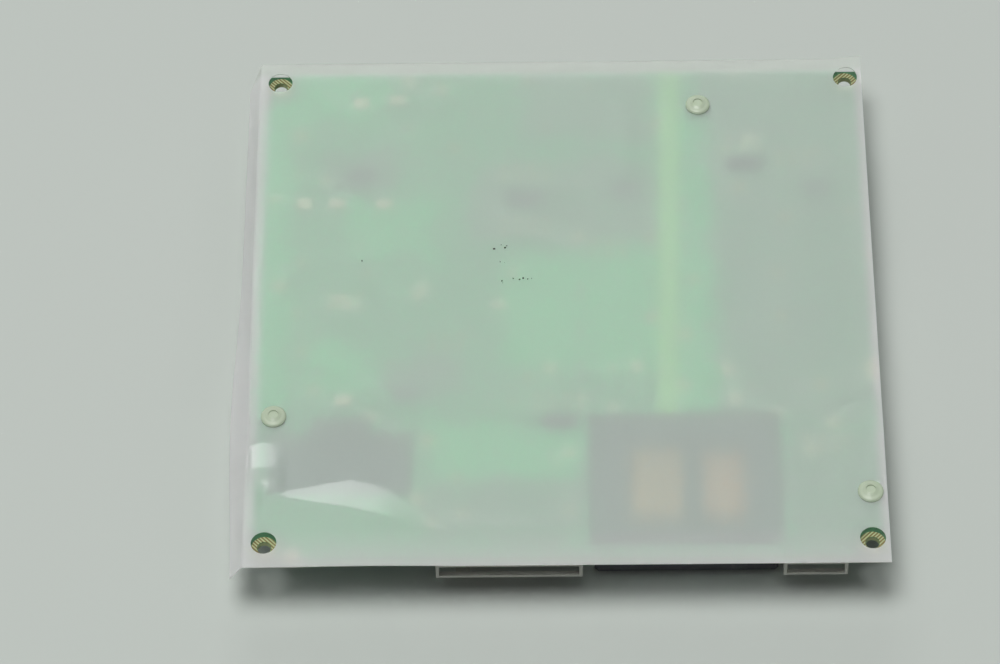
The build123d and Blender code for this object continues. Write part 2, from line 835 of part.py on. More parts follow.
def box_header(label, centre_x, ways, rib_insets=()):
    """Makes a side-entry header's housing, with ribs across its floor's window, and its row of pins."""
    length = header_length(ways)
    pin_x = [centre_x + (i - (ways - 1) / 2) * header_pitch for i in range(ways)]
    cavity_depth = header_depth - header_back_wall
    with BuildPart() as housing:
        with BuildSketch(Plane.XZ.offset(-header_mouth)):
            with Locations((centre_x, header_pin_z)):
                Rectangle(length, header_height)
        extrude(amount=-header_depth)
        with BuildSketch(Plane.XZ.offset(-header_mouth)):
            with Locations((centre_x, header_pin_z)):
                Rectangle(length - 2 * header_wall, header_height - 2 * header_wall)
        extrude(amount=-cavity_depth, mode=Mode.SUBTRACT)
        with BuildSketch(Plane.XY.offset(header_bottom)):
            with Locations((centre_x, header_mouth + header_rail)):
                Rectangle(
                    length - 2 * header_wall, header_window_length, align=(Align.CENTER, Align.MIN)
                )
            for inset in rib_insets:
                with Locations((centre_x - length / 2 + inset, header_mouth + header_rail)):
                    Rectangle(
                        header_rib_width,
                        header_window_length,
                        align=(Align.MIN, Align.MIN),
                        mode=Mode.SUBTRACT,
                    )
        extrude(amount=header_wall, mode=Mode.SUBTRACT)
        with BuildSketch(Plane.XZ.offset(-header_back)):
            with Locations(*[(x, header_pin_z) for x in pin_x]):
                Rectangle(lead_width, lead_width)
        extrude(amount=header_back_wall, mode=Mode.SUBTRACT)
    save(housing.part, f"{label}_header_housing")

    tip_y = header_mouth + header_pin_recess
    lead_y = header_back + header_lead_reach
    pin_points.extend((x, lead_y) for x in pin_x)
    with BuildPart() as pins:
        for x in pin_x:
            bent_lead(
                Plane.YZ.offset(x), [(tip_y, header_pin_z), (lead_y, header_pin_z), (lead_y, 0)]
            )
    save(pins.part, f"{label}_header_pins")


box_header("wide", wide_header_x, wide_header_ways, [wide_header_rib_inset])
box_header("narrow", narrow_header_x, narrow_header_ways)


# Wound parts: two E cores meet on a post and two legs, round a bobbin on pin rails


def wound_part(label, point, angle, core_width, core_depth, post_width):
    """Makes the core halves, bobbin and winding of one upright wound part."""
    core_top = component_face - wound_top_gap
    window_top = core_top - wound_core_plate
    window_bottom = rest_level + wound_core_plate
    half_height = (core_top - rest_level) / 2
    leg_x = (core_width - wound_core_leg) / 2

    def level(z):
        """Gives the part's own level plane, turned to its angle."""
        along = (cos(radians(angle)), sin(radians(angle)), 0)
        return Plane(origin=(point[0], point[1], z), x_dir=along, z_dir=(0, 0, 1))

    for half_label, outer_z, rise in (("upper", core_top, -1), ("lower", rest_level, 1)):
        with BuildPart() as half:
            with BuildSketch(level(outer_z)):
                Rectangle(core_width, core_depth)
            extrude(amount=rise * wound_core_plate)
            with BuildSketch(level(outer_z + rise * wound_core_plate)):
                Rectangle(post_width, core_depth)
                with GridLocations(2 * leg_x, 0, 2, 1):
                    Rectangle(wound_core_leg, core_depth)
            extrude(amount=rise * (half_height - wound_core_plate))
        save(half.part, f"{label}_core_{half_label}")

    bore_width = post_width + 2 * wound_core_gap
    bore_depth = core_depth + 2 * wound_core_gap
    tube_width = bore_width + 2 * wound_tube_wall
    tube_depth = bore_depth + 2 * wound_tube_wall
    flange_width = core_width - 2 * wound_core_leg - 2 * wound_core_gap
    winding_width = flange_width - 2 * wound_winding_gap
    winding_depth = tube_depth + winding_width - tube_width
    rail_y = winding_depth / 2 + wound_rail_gap + wound_rail_depth / 2
    rail_outer = 2 * rail_y + wound_rail_depth
    upper_flange_z = window_top - wound_core_gap - wound_flange
    lower_flange_z = window_bottom + wound_core_gap
    pin_spread = flange_width - 2 * wound_pin_inset
    with BuildPart() as bobbin:
        with BuildSketch(level(upper_flange_z)):
            Rectangle(flange_width, rail_outer)
        extrude(amount=wound_flange)
        with BuildSketch(level(lower_flange_z)):
            Rectangle(flange_width, winding_depth)
        extrude(amount=wound_flange)
        with BuildSketch(level(lower_flange_z)):
            Rectangle(tube_width, tube_depth)
        extrude(amount=upper_flange_z + wound_flange - lower_flange_z)
        with BuildSketch(level(lower_flange_z)):
            Rectangle(bore_width, bore_depth)
        extrude(amount=upper_flange_z + wound_flange - lower_flange_z, mode=Mode.SUBTRACT)
        with BuildSketch(level(upper_flange_z)):
            with GridLocations(0, 2 * rail_y, 1, 2):
                Rectangle(flange_width, wound_rail_depth)
        extrude(amount=component_face - upper_flange_z)
    save(bobbin.part, f"{label}_bobbin")
    for pin_x in (-pin_spread / 2, pin_spread / 2):
        for pin_y in (-rail_y, rail_y):
            pin = level(0).from_local_coords((pin_x, pin_y, 0))
            solder_points.append((pin.X, pin.Y))

    with BuildPart() as winding:
        with BuildSketch(level(lower_flange_z + wound_flange)):
            Rectangle(winding_width, winding_depth)
        extrude(amount=upper_flange_z - lower_flange_z - wound_flange)
        chamfer(winding.edges().filter_by(Axis.Z), wound_winding_corner)
        with BuildSketch(level(lower_flange_z + wound_flange)):
            Rectangle(tube_width + 2 * winding_bore_gap, tube_depth + 2 * winding_bore_gap)
        extrude(amount=upper_flange_z - lower_flange_z - wound_flange, mode=Mode.SUBTRACT)
    save(winding.part, f"{label}_winding")


wound_part(
    "power_factor_choke", choke_point, 0, choke_core_width, choke_core_depth, choke_post_width
)
wound_part(
    "standby_transformer",
    standby_point,
    90,
    standby_core_width,
    standby_core_depth,
    standby_post_width,
)


# Line chokes: a closed frame core, a wound and flanged tube on each long leg, and a base

frame_core_z = component_face - frame_base_thickness - frame_core_base_gap - frame_core_height / 2
frame_leg_y = (frame_core_depth - frame_core_leg) / 2
frame_bore = frame_core_leg + 2 * frame_core_clearance
frame_winding_length = frame_core_width - 2 * (frame_core_leg + frame_flange_thickness)
frame_bore_height = frame_core_height + 2 * frame_core_clearance
frame_winding_width = frame_bore + 2 * frame_winding_build
frame_winding_height = frame_bore_height + 2 * frame_winding_build
frame_leg_points = [
    (x, y + side * frame_leg_y) for x, y in line_choke_points for side in (-1, 1)
]

with BuildPart() as line_choke_cores:
    with BuildSketch(Plane.XY.offset(frame_core_z)):
        with Locations(*line_choke_points):
            Rectangle(frame_core_width, frame_core_depth)
            Rectangle(
                frame_core_width - 2 * frame_core_leg,
                frame_core_depth - 2 * frame_core_leg,
                mode=Mode.SUBTRACT,
            )
    extrude(amount=frame_core_height / 2, both=True)
save(line_choke_cores.part, "line_choke_cores")

with BuildPart() as line_choke_windings:
    for leg_x, leg_y in frame_leg_points:
        with BuildSketch(Plane.YZ.offset(leg_x)):
            with Locations((leg_y, frame_core_z)):
                Rectangle(frame_winding_width, frame_winding_height)
        extrude(amount=frame_winding_length / 2, both=True)
    chamfer(line_choke_windings.edges().filter_by(Axis.X), frame_winding_corner)
    for leg_x, leg_y in frame_leg_points:
        with BuildSketch(Plane.YZ.offset(leg_x)):
            with Locations((leg_y, frame_core_z)):
                Rectangle(frame_bore, frame_bore_height)
        extrude(amount=frame_winding_length / 2, both=True, mode=Mode.SUBTRACT)
save(line_choke_windings.part, "line_choke_windings")

frame_flange_x = (frame_winding_length + frame_flange_thickness) / 2
frame_flange_height = frame_winding_height + 2 * frame_flange_margin
with BuildPart() as line_choke_bases:
    with BuildSketch(Plane.XY.offset(component_face)):
        with Locations(*line_choke_points):
            Rectangle(frame_core_width, frame_core_depth + frame_winding_width - frame_core_leg)
    extrude(amount=-frame_base_thickness)
    for leg_x, leg_y in frame_leg_points:
        for side in (-1, 1):
            with BuildSketch(Plane.YZ.offset(leg_x + side * frame_flange_x)):
                with Locations((leg_y, frame_core_z)):
                    Rectangle(frame_winding_width, frame_flange_height)
                    Rectangle(frame_bore, frame_bore_height, mode=Mode.SUBTRACT)
            extrude(amount=frame_flange_thickness / 2, both=True)
save(line_choke_bases.part, "line_choke_bases")
for leg_x, leg_y in frame_leg_points:
    lead_x = frame_core_width / 2 - frame_lead_inset
    solder_points.extend([(leg_x - lead_x, leg_y), (leg_x + lead_x, leg_y)])


# Boxed parts

for label, (box_x, box_y, width, depth, height, pitch) in boxed_parts.items():
    with BuildPart() as box:
        with BuildSketch(Plane.XY.offset(component_face)):
            with Locations((box_x, box_y)):
                Rectangle(width, depth)
        extrude(amount=-height)
        chamfer(box.edges().group_by(Axis.Z)[0], box_edge_chamfer)
    save(box.part, label)
    solder_points.extend([(box_x - pitch / 2, box_y), (box_x + pitch / 2, box_y)])


# Standing electrolytic capacitors

for label, (diameter, height, points) in can_sets.items():
    with BuildPart() as cans:
        with BuildSketch(Plane.XY.offset(component_face)):
            with Locations(*points):
                Circle(diameter / 2)
        extrude(amount=-height)
    save(cans.part, label)
    solder_points.extend((x + side * can_lead_pitch / 2, y) for x, y in points for side in (-1, 1))


# Discs on their leads: the varistor and the noise capacitors

for label, (diameter, thickness, pitch, points) in disc_sets.items():
    disc_z = component_face - disc_stand - diameter / 2
    with BuildPart() as disc:
        with BuildSketch(Plane.XZ):
            with Locations((0, disc_z)):
                Circle(diameter / 2)
        extrude(amount=thickness / 2, both=True)
        for side in (-1, 1):
            with BuildSketch(Plane.XZ):
                with BuildLine() as route:
                    Polyline(
                        (0, disc_z),
                        (side * pitch / 2, component_face - disc_lead_straight),
                        (side * pitch / 2, component_face),
                    )
                trace(route.line, lead_width)
            extrude(amount=lead_width / 2, both=True)
    with BuildPart() as discs:
        with Locations(*points):
            add(disc.part)
    save(discs.part, label)
    solder_points.extend((x + side * pitch / 2, y) for x, y in points for side in (-1, 1))


# Mains header

mains_pins = [
    (mains_point[0] - mains_pin_pitch / 2, mains_point[1]),
    (mains_point[0] + mains_pin_pitch / 2, mains_point[1]),
]
with BuildPart() as mains_header_housing:
    with BuildSketch(Plane.XY.offset(component_face)):
        with Locations(mains_point):
            Rectangle(mains_width, mains_depth)
        with Locations(*mains_pins):
            Rectangle(lead_width, lead_width, mode=Mode.SUBTRACT)
    extrude(amount=-mains_base_height)
    with BuildSketch(Plane.XY.offset(component_face)):
        with Locations((mains_point[0], mains_point[1] - (mains_depth - mains_wall) / 2)):
            Rectangle(mains_width, mains_wall)
    extrude(amount=-mains_wall_height)
save(mains_header_housing.part, "mains_header_housing")

pin_points.extend(mains_pins)
with BuildPart() as mains_header_pins:
    with BuildSketch():
        with Locations(*mains_pins):
            Rectangle(lead_width, lead_width)
    extrude(amount=-board_thickness - mains_pin_height)
save(mains_header_pins.part, "mains_header_pins")


# Optocouplers

optocoupler_top = component_face - optocoupler_board_gap
optocoupler_lead_z = optocoupler_top - optocoupler_lead_height
with BuildPart() as optocouplers:
    with BuildSketch(Plane.XY.offset(optocoupler_top)):
        with Locations(*[(optocoupler_x, y) for y in optocoupler_y]):
            Rectangle(optocoupler_length, optocoupler_width)
    extrude(amount=-optocoupler_height)
    chamfer(optocouplers.edges().group_by(Axis.Z)[0], optocoupler_edge)
    half_lead_pitch = optocoupler_lead_pitch / 2
    for lead_y in [y + step for y in optocoupler_y for step in (-half_lead_pitch, half_lead_pitch)]:
        for side in (-1, 1):
            side_x = optocoupler_x + side * optocoupler_length / 2
            lead_x = optocoupler_x + side * optocoupler_row_pitch / 2
            solder_points.append((lead_x, lead_y))
            bent_lead(
                Plane.XZ.offset(-lead_y),
                [(side_x, optocoupler_lead_z), (lead_x, optocoupler_lead_z), (lead_x, component_face)],
            )
save(optocouplers.part, "optocouplers")


# Output chokes, in shrunk sleeves

with BuildPart() as output_chokes:
    with BuildSketch(Plane.XY.offset(component_face)):
        with Locations(*output_choke_points):
            Circle(output_choke_diameter / 2)
    extrude(amount=-output_choke_height)
save(output_chokes.part, "output_chokes")
solder_points.extend(
    (x + side * can_lead_pitch / 2, y) for x, y in output_choke_points for side in (-1, 1)
)


# Power resistors and jumper wires

resistor_z = component_face - resistor_board_gap - resistor_diameter / 2
resistor_lead_x = resistor_length / 2 + resistor_lead_reach
with BuildPart() as power_resistors:
    for resistor_x, resistor_y in resistor_points:
        with BuildSketch(Plane.YZ.offset(resistor_x)):
            with Locations((resistor_y, resistor_z)):
                Circle(resistor_diameter / 2)
        extrude(amount=resistor_length / 2, both=True)
        for side in (-1, 1):
            lead_x = resistor_x + side * resistor_lead_x
            solder_points.append((lead_x, resistor_y))
            bent_lead(
                Plane.XZ.offset(-resistor_y),
                [
                    (resistor_x + side * resistor_length / 2, resistor_z),
                    (lead_x, resistor_z),
                    (lead_x, component_face),
                ],
            )
save(power_resistors.part, "power_resistors")

jumper_z = component_face - jumper_stand - lead_width / 2
with BuildPart() as jumper_wires:
    for (start_x, start_y), (end_x, end_y) in jumper_spans:
        solder_points.extend([(start_x, start_y), (end_x, end_y)])
        bent_lead(
            Plane.XZ.offset(-start_y),
            [
                (start_x, component_face),
                (start_x, jumper_z),
                (end_x, jumper_z),
                (end_x, component_face),
            ],
        )
save(jumper_wires.part, "jumper_wires")


# Parts on the solder side

for label, (points, length, width, height) in chip_sets.items():
    with BuildPart() as chips:
        with BuildSketch():
            with Locations(*points):
                Rectangle(length, width)
        extrude(amount=height)
        if label == "control_chips":
            with BuildSketch():
                with Locations(*points):
                    with GridLocations(chip_leg_pitch, 0, chip_leg_count, 1):
                        Rectangle(chip_leg_width, width + 2 * chip_leg_reach)
            extrude(amount=chip_leg_height)
    save(chips.part, label)

with BuildPart() as small_chips:
    with BuildSketch():
        for centre, columns, rows in small_chip_groups:
            with Locations(centre):
                with GridLocations(small_chip_pitch_x, small_chip_pitch_y, columns, rows):
                    Rectangle(small_chip_length, small_chip_width)
    extrude(amount=small_chip_height)
save(small_chips.part, "small_chips")

with BuildPart() as solder_joints:
    with BuildSketch():
        with Locations(*pin_points, *solder_points):
            Rectangle(solder_width, solder_width)
    extrude(amount=solder_height, taper=solder_taper)
save(solder_joints.part, "solder_joints")


# Circuit board: its windows are the outlines of what is sunk in them, with their clearances

window_left = core_left - window_clearance
window_right = core_right + window_clearance
window_depth = core_width + 2 * window_clearance
bulk_window_left = bulk_left_x - bulk_window_clearance
bulk_window_right = bulk_right_x + bulk_window_clearance
bulk_window_depth = bulk_diameter + 2 * bulk_window_clearance
bay_width = thermistor_diameter + 2 * thermistor_bay_clearance
bay_back = thermistor_y + thermistor_thickness / 2 + thermistor_bay_clearance

with BuildPart() as circuit_board:
    with BuildSketch(Plane.XY.offset(component_face)):
        RectangleRounded(board_width, board_depth, board_corner_radius)
        with mounting_holes:
            Circle(hole_diameter / 2, mode=Mode.SUBTRACT)
        with Locations(*rivet_points):
            Circle(rivet_hole_diameter / 2, mode=Mode.SUBTRACT)
        with Locations((core_centre_x, core_centre_y)):
            Rectangle(window_right - window_left, window_depth, mode=Mode.SUBTRACT)
        with Locations(((bulk_window_left + bulk_window_right) / 2, bulk_centre_y)):
            Rectangle(bulk_window_right - bulk_window_left, bulk_window_depth, mode=Mode.SUBTRACT)
        with Locations((thermistor_centre_x, (bulk_centre_y + bay_back) / 2)):
            Rectangle(bay_width, bay_back - bulk_centre_y, mode=Mode.SUBTRACT)
        with Locations(*pin_points):
            Rectangle(lead_hole, lead_hole, mode=Mode.SUBTRACT)
    extrude(amount=board_thickness)
save(circuit_board.part, "circuit_board")
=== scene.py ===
"""Finishes, fine pieces and studio for a power supply board that lies under its insulation sheet."""

import logging
import math
from dataclasses import dataclass, field
from enum import Enum
from typing import Any, Callable, Dict, Iterable, List, Optional, Sequence, Tuple, Union

import bmesh
import bpy
from mathutils import Matrix, Vector


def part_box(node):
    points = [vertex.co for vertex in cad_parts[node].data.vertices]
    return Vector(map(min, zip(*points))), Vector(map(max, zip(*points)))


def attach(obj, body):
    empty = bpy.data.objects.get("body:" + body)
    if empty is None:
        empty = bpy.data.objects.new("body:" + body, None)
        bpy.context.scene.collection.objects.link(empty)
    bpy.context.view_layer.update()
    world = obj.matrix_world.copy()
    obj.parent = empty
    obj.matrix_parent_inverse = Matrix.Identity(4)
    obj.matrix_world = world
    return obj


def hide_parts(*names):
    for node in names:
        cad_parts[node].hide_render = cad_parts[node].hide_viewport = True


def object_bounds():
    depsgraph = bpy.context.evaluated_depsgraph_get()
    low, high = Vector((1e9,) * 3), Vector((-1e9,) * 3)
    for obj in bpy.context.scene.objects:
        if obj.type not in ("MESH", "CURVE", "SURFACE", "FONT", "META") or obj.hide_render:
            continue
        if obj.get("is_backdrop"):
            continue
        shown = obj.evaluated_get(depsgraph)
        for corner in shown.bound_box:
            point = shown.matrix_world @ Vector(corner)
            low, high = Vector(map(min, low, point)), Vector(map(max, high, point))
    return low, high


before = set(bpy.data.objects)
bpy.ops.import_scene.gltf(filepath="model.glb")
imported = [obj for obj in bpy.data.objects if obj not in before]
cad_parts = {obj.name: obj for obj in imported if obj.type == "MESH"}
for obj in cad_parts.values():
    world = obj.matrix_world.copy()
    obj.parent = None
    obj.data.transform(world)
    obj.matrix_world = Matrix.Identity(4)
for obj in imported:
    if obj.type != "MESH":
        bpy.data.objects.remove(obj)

logging.basicConfig(level=logging.INFO, format="%(name)s: %(message)s")
log = logging.getLogger("power_supply_board")

MM = 0.001
ROOT = "root"
ORIGIN = (0.0, 0.0, 0.0)

Colour = Tuple[float, float, float]
Number = Union[float, "Wire"]
Point = Tuple[float, float, float]


# Shader sockets and graphs


class Wire:
    """A shader socket that takes part in Python arithmetic."""

    def __init__(self, graph: "Graph", socket: bpy.types.NodeSocket) -> None:
        """Keeps the graph and the output socket."""
        self.graph = graph
        self.socket = socket

    def _math(self, operation: str, *values: Number) -> "Wire":
        """Adds one Math node for the given values."""
        return self.graph.node("ShaderNodeMath", {"operation": operation}, dict(enumerate(values)))

    def __add__(self, other: Number) -> "Wire":
        """Adds two values."""
        return self._math("ADD", self, other)

    def __sub__(self, other: Number) -> "Wire":
        """Takes the other value away."""
        return self._math("SUBTRACT", self, other)

    def __rsub__(self, other: Number) -> "Wire":
        """Takes this value away from the other."""
        return self._math("SUBTRACT", other, self)

    def __mul__(self, other: Number) -> "Wire":
        """Multiplies two values."""
        return self._math("MULTIPLY", self, other)

    def __truediv__(self, other: Number) -> "Wire":
        """Divides by the other value."""
        return self._math("DIVIDE", self, other)

    def __mod__(self, other: Number) -> "Wire":
        """Gives the remainder, never below zero."""
        return self._math("FLOORED_MODULO", self, other)

    def __abs__(self) -> "Wire":
        """Drops the sign."""
        return self._math("ABSOLUTE", self)

    __radd__ = __add__
    __rmul__ = __mul__

    def most(self, other: Number) -> "Wire":
        """Gives the larger of two values."""
        return self._math("MAXIMUM", self, other)

    def rise(self, low: float, high: float) -> "Wire":
        """Ramps from 0 to 1 between two values, or back where the first is the larger.

        Args:
            low: Value that gives 0.
            high: Value that gives 1.

        Returns:
            The ramp, held between 0 and 1.
        """
        sockets = {"Value": self, "From Min": low, "From Max": high}
        return self.graph.node("ShaderNodeMapRange", {"clamp": True}, sockets)

    def inside(self, low: float, high: float, edge: float) -> "Wire":
        """Gives 1 between two values, with a soft edge outside them."""
        return self.rise(low - edge, low) * self.rise(high + edge, high)


class Graph:
    """The node tree of one material or of the world."""

    def __init__(self, tree: bpy.types.NodeTree) -> None:
        """Clears the tree."""
        self.tree = tree
        self.tree.nodes.clear()

    def node(
        self,
        kind: str,
        settings: Optional[Dict[str, Any]] = None,
        sockets: Optional[Dict[Union[str, int], Any]] = None,
        output: Union[str, int] = 0,
    ) -> Wire:
        """Adds one node, sets it up and joins its sockets.

        Args:
            kind: Type of the node.
            settings: Properties that are set first.
            sockets: Values or wires for the input sockets.
            output: Output socket that is wanted.

        Returns:
            The output, ready for arithmetic.
        """
        node = self.tree.nodes.new(kind)
        for name, value in (settings or {}).items():
            setattr(node, name, value)
        for name, value in (sockets or {}).items():
            socket = node.inputs[name]
            if isinstance(value, Wire):
                self.tree.links.new(value.socket, socket)
            elif socket.type == "RGBA" and len(value) == 3:
                socket.default_value = (*value, 1.0)
            else:
                socket.default_value = value
        return Wire(self, node.outputs[output] if node.outputs else None)

    def place(self) -> Wire:
        """Gives the point on the object."""
        return self.node("ShaderNodeTexCoord", output="Object")

    def axes(self) -> Tuple[Wire, Wire, Wire]:
        """Gives the three coordinates of the point on the object."""
        split = self.node("ShaderNodeSeparateXYZ", sockets={"Vector": self.place()})
        outputs = split.socket.node.outputs
        return Wire(self, outputs[0]), Wire(self, outputs[1]), Wire(self, outputs[2])

    def scaled(self, scale: Point) -> Wire:
        """Gives the point on the object, stretched along each axis."""
        return self.node("ShaderNodeMapping", sockets={"Vector": self.place(), "Scale": scale})

    def noise(self, scale: float, detail: float = 2.0, rough: float = 0.5, at: Optional[Wire] = None) -> Wire:
        """Gives soft noise between 0 and 1.

        Args:
            scale: Grains to the metre.
            detail: Octaves of finer noise.
            rough: Strength of the finer noise.
            at: Point to read, or none for the point on the object.

        Returns:
            The noise.
        """
        sockets = {"Vector": at or self.place(), "Scale": scale, "Detail": detail, "Roughness": rough}
        return self.node("ShaderNodeTexNoise", sockets=sockets)

    def cells(self, scale: float) -> Wire:
        """Gives the distance to the middle of the nearest of many scattered cells."""
        sockets = {"Vector": self.place(), "Scale": scale}
        return self.node("ShaderNodeTexVoronoi", sockets=sockets, output="Distance")

    def blend(self, factor: Number, first: Any, second: Any) -> Wire:
        """Blends two colours.

        Args:
            factor: Share of the second colour.
            first: Colour or wire at 0.
            second: Colour or wire at 1.

        Returns:
            The blended colour.
        """
        return self.node("ShaderNodeMix", {"data_type": "RGBA"}, {0: factor, 6: first, 7: second}, 2)

    def relief(self, height: Wire, distance: float, strength: float = 1.0) -> Wire:
        """Turns a height between 0 and 1 into a bumped normal."""
        sockets = {"Height": height, "Distance": distance, "Strength": strength}
        return self.node("ShaderNodeBump", sockets=sockets)

    def principled(self, **sockets: Any) -> Wire:
        """Adds the main shader; each underscore in a name stands for a space."""
        named = {name.replace("_", " "): value for name, value in sockets.items()}
        return self.node("ShaderNodeBsdfPrincipled", {"distribution": "MULTI_GGX"}, named)

    def finish(self, shader: Wire, kind: str = "ShaderNodeOutputMaterial") -> None:
        """Joins the shader to the output."""
        self.node(kind, sockets={"Surface": shader})


# Surface finishes


def shade(base: Colour, factor: float) -> Colour:
    """Makes a colour darker or lighter."""
    return tuple(min(1.0, channel * factor) for channel in base)


class Finish:
    """A surface finish that makes its material once."""

    name: str
    slot: str
    _made: Dict[str, bpy.types.Material] = {}

    def material(self) -> bpy.types.Material:
        """Gives the material, made on first use."""
        if self.name not in Finish._made:
            material = bpy.data.materials.new(self.name)
            material.use_nodes = True
            graph = Graph(material.node_tree)
            graph.finish(self.surface(graph))
            Finish._made[self.name] = material
        return Finish._made[self.name]

    def surface(self, graph: Graph) -> Wire:
        """Builds the shader."""
        raise NotImplementedError


@dataclass(frozen=True)
class MilkyFilm(Finish):
    """Frosted plastic sheet that scatters what lies under it, with painted light on its front and side rims
    and painted shade on its back strip.
    """

    name: str = "milky_film"
    slot: str = "milky_film"
    tint: Colour = (0.915, 1.0, 0.945)
    # Colours of the painted light on the front and side rims and of the painted shade on the back strip.
    rim_painted_light: Colour = (1.0, 1.0, 1.0)
    back_painted_shade: Colour = (0.88, 0.915, 0.875)
    rim_front: float = -0.0765
    rim_back: float = 0.0820
    rim_side: float = 0.0860
    rim_fade: float = 0.008
    rim_edge: float = 0.002
    passes: float = 0.745
    roughness: float = 0.74
    index: float = 1.45
    gloss: float = 1.0
    gloss_roughness: float = 0.125

    def surface(self, graph: Graph) -> Wire:
        """Builds the shader."""
        mottle = graph.noise(45.0, 3.0)
        x, y, _ = graph.axes()
        # Painted light: the film turns paler towards its front and side rims. Painted shade: its back strip
        # turns darker.
        front = y.rise(self.rim_front, self.rim_front - self.rim_fade)
        sides = abs(x).rise(self.rim_side - self.rim_edge, self.rim_side)
        back = y.rise(self.rim_back, self.rim_back + self.rim_edge)
        tint = graph.blend(front.most(sides), self.tint, self.rim_painted_light)
        tint = graph.blend(back, tint, self.back_painted_shade)
        colour = graph.blend(mottle.rise(0.3, 0.7) * 0.01, tint, (0.0, 0.0, 0.0))
        streaks = graph.noise(1.0, 2.0, at=graph.scaled((240.0, 25.0, 200.0)))
        return graph.principled(
            Base_Color=colour,
            Roughness=self.roughness,
            IOR=self.index,
            Transmission_Weight=self.passes,
            Coat_Weight=self.gloss,
            Coat_Roughness=self.gloss_roughness,
            Normal=graph.relief(streaks, 0.00002, 0.15),
        )


@dataclass(frozen=True)
class Zone:
    """A rectangle of the board's face, in millimetres."""

    left: float
    right: float
    front: float
    back: float

    def mask(self, x: Wire, y: Wire, edge: float) -> Wire:
        """Gives 1 inside the rectangle."""
        across = x.inside(self.left * MM, self.right * MM, edge)
        return across * y.inside(self.front * MM, self.back * MM, edge)


@dataclass(frozen=True)
class Laminate(Finish):
    """Glass epoxy board: its solder side, its component side and its sawn edges."""

    name: str = "board_laminate"
    slot: str = "green_board"
    clear_green: Colour = (0.02, 0.53, 0.175)
    olive: Colour = (0.04, 0.35, 0.125)
    copper_grey: Colour = (0.11, 0.23, 0.125)
    strip: Colour = (0.30, 0.68, 0.19)
    hole_green: Colour = (0.05, 0.17, 0.075)
    under_green: Colour = (0.025, 0.15, 0.065)
    tin: Colour = (0.50, 0.42, 0.44)
    land: Colour = (0.75, 0.64, 0.46)
    glass_edge: Colour = (0.42, 0.46, 0.25)
    thickness: float = 0.0016
    skin: float = 0.0001
    band_pitch: float = 0.0026
    isolation: Zone = Zone(26.6, 31.6, -37.0, 84.5)
    slant: float = 0.025
    corner: Zone = Zone(78.0, 87.0, 75.5, 85.0)
    bare: Tuple[Zone, ...] = (
        Zone(-86.0, -81.0, -36.0, 68.0),
        Zone(-84.0, -54.0, 69.0, 84.0),
        Zone(-61.0, -38.0, 19.0, 37.0),
        Zone(-16.0, 8.0, -19.0, 16.0),
        Zone(10.0, 25.0, -21.0, 22.0),
        Zone(33.0, 41.0, -22.0, 66.0),
        Zone(33.0, 52.0, -35.0, -15.0),
        Zone(-35.0, 5.0, -57.0, -42.0),
        Zone(-72.0, -54.0, -27.0, -14.0),
    )
    plated: Tuple[Zone, ...] = (
        Zone(-10.0, 24.0, 61.0, 84.0),
        Zone(-25.0, 25.0, 23.0, 51.0),
        Zone(42.0, 87.0, 60.0, 84.0),
        Zone(44.0, 87.0, -40.0, 57.0),
        Zone(-50.0, -30.0, -28.0, -19.0),
        Zone(-38.0, 4.0, -77.0, -60.0),
        Zone(-68.0, -48.0, 43.0, 55.0),
        Zone(62.0, 87.0, -80.0, -44.0),
    )

    def surface(self, graph: Graph) -> Wire:
        """Builds the shader."""
        x, y, z = graph.axes()
        pours = graph.noise(70.0, 3.0, 0.5)
        wander = (pours - 0.5) * 0.02
        bare = self.union(self.bare, x + wander, y - wander, 0.003)
        base = graph.blend(bare * 0.9, self.olive, self.clear_green)
        plated = self.union(self.plated, x - wander, y + wander, 0.0025)
        base = graph.blend(plated * 0.85, base, self.copper_grey)
        line = abs((y % self.band_pitch) / self.band_pitch - 0.5).rise(0.2, 0.1)
        broken = graph.noise(1.0, 1.0, 0.4, graph.scaled((60.0, 300.0, 1.0))).rise(0.46, 0.54)
        base = graph.blend(line * plated * broken * 0.7, base, self.tin)
        lands = graph.cells(95.0).rise(0.26, 0.16) * graph.noise(33.0, 1.0).rise(0.43, 0.5)
        base = graph.blend(lands * 0.85, base, self.land)
        strip = self.isolation.mask(x - y * self.slant, y, 0.0004)
        solder_side = graph.blend(strip, base, self.strip)
        solder_side = graph.blend(self.corner.mask(abs(x), abs(y), 0.001), solder_side, self.hole_green)
        under = graph.blend(pours.rise(0.48, 0.52), self.under_green, shade(self.under_green, 1.3))
        under = graph.blend(strip, under, shade(self.strip, 0.7))
        weave = graph.noise(1400.0, 1.0)
        edge = graph.blend(weave, self.glass_edge, shade(self.glass_edge, 0.8))
        top = z.rise(-self.skin * 1.5, -self.skin * 0.5)
        bottom = z.rise(self.skin * 1.5 - self.thickness, self.skin * 0.5 - self.thickness)
        colour = graph.blend(top, graph.blend(bottom, edge, under), solder_side)
        faces = top.most(bottom)
        return graph.principled(
            Base_Color=colour,
            Roughness=0.75 - faces * 0.4 + weave * 0.05,
            Coat_Weight=faces * 0.4,
            Coat_Roughness=0.2,
            Specular_IOR_Level=0.4,
            Normal=graph.relief(pours.rise(0.46, 0.54) + weave * 0.1, 0.00003, 0.6),
        )

    @staticmethod
    def union(zones: Sequence[Zone], x: Wire, y: Wire, edge: float) -> Wire:
        """Joins the masks of several zones."""
        joined = zones[0].mask(x, y, edge)
        for zone in zones[1:]:
            joined = joined.most(zone.mask(x, y, edge))
        return joined


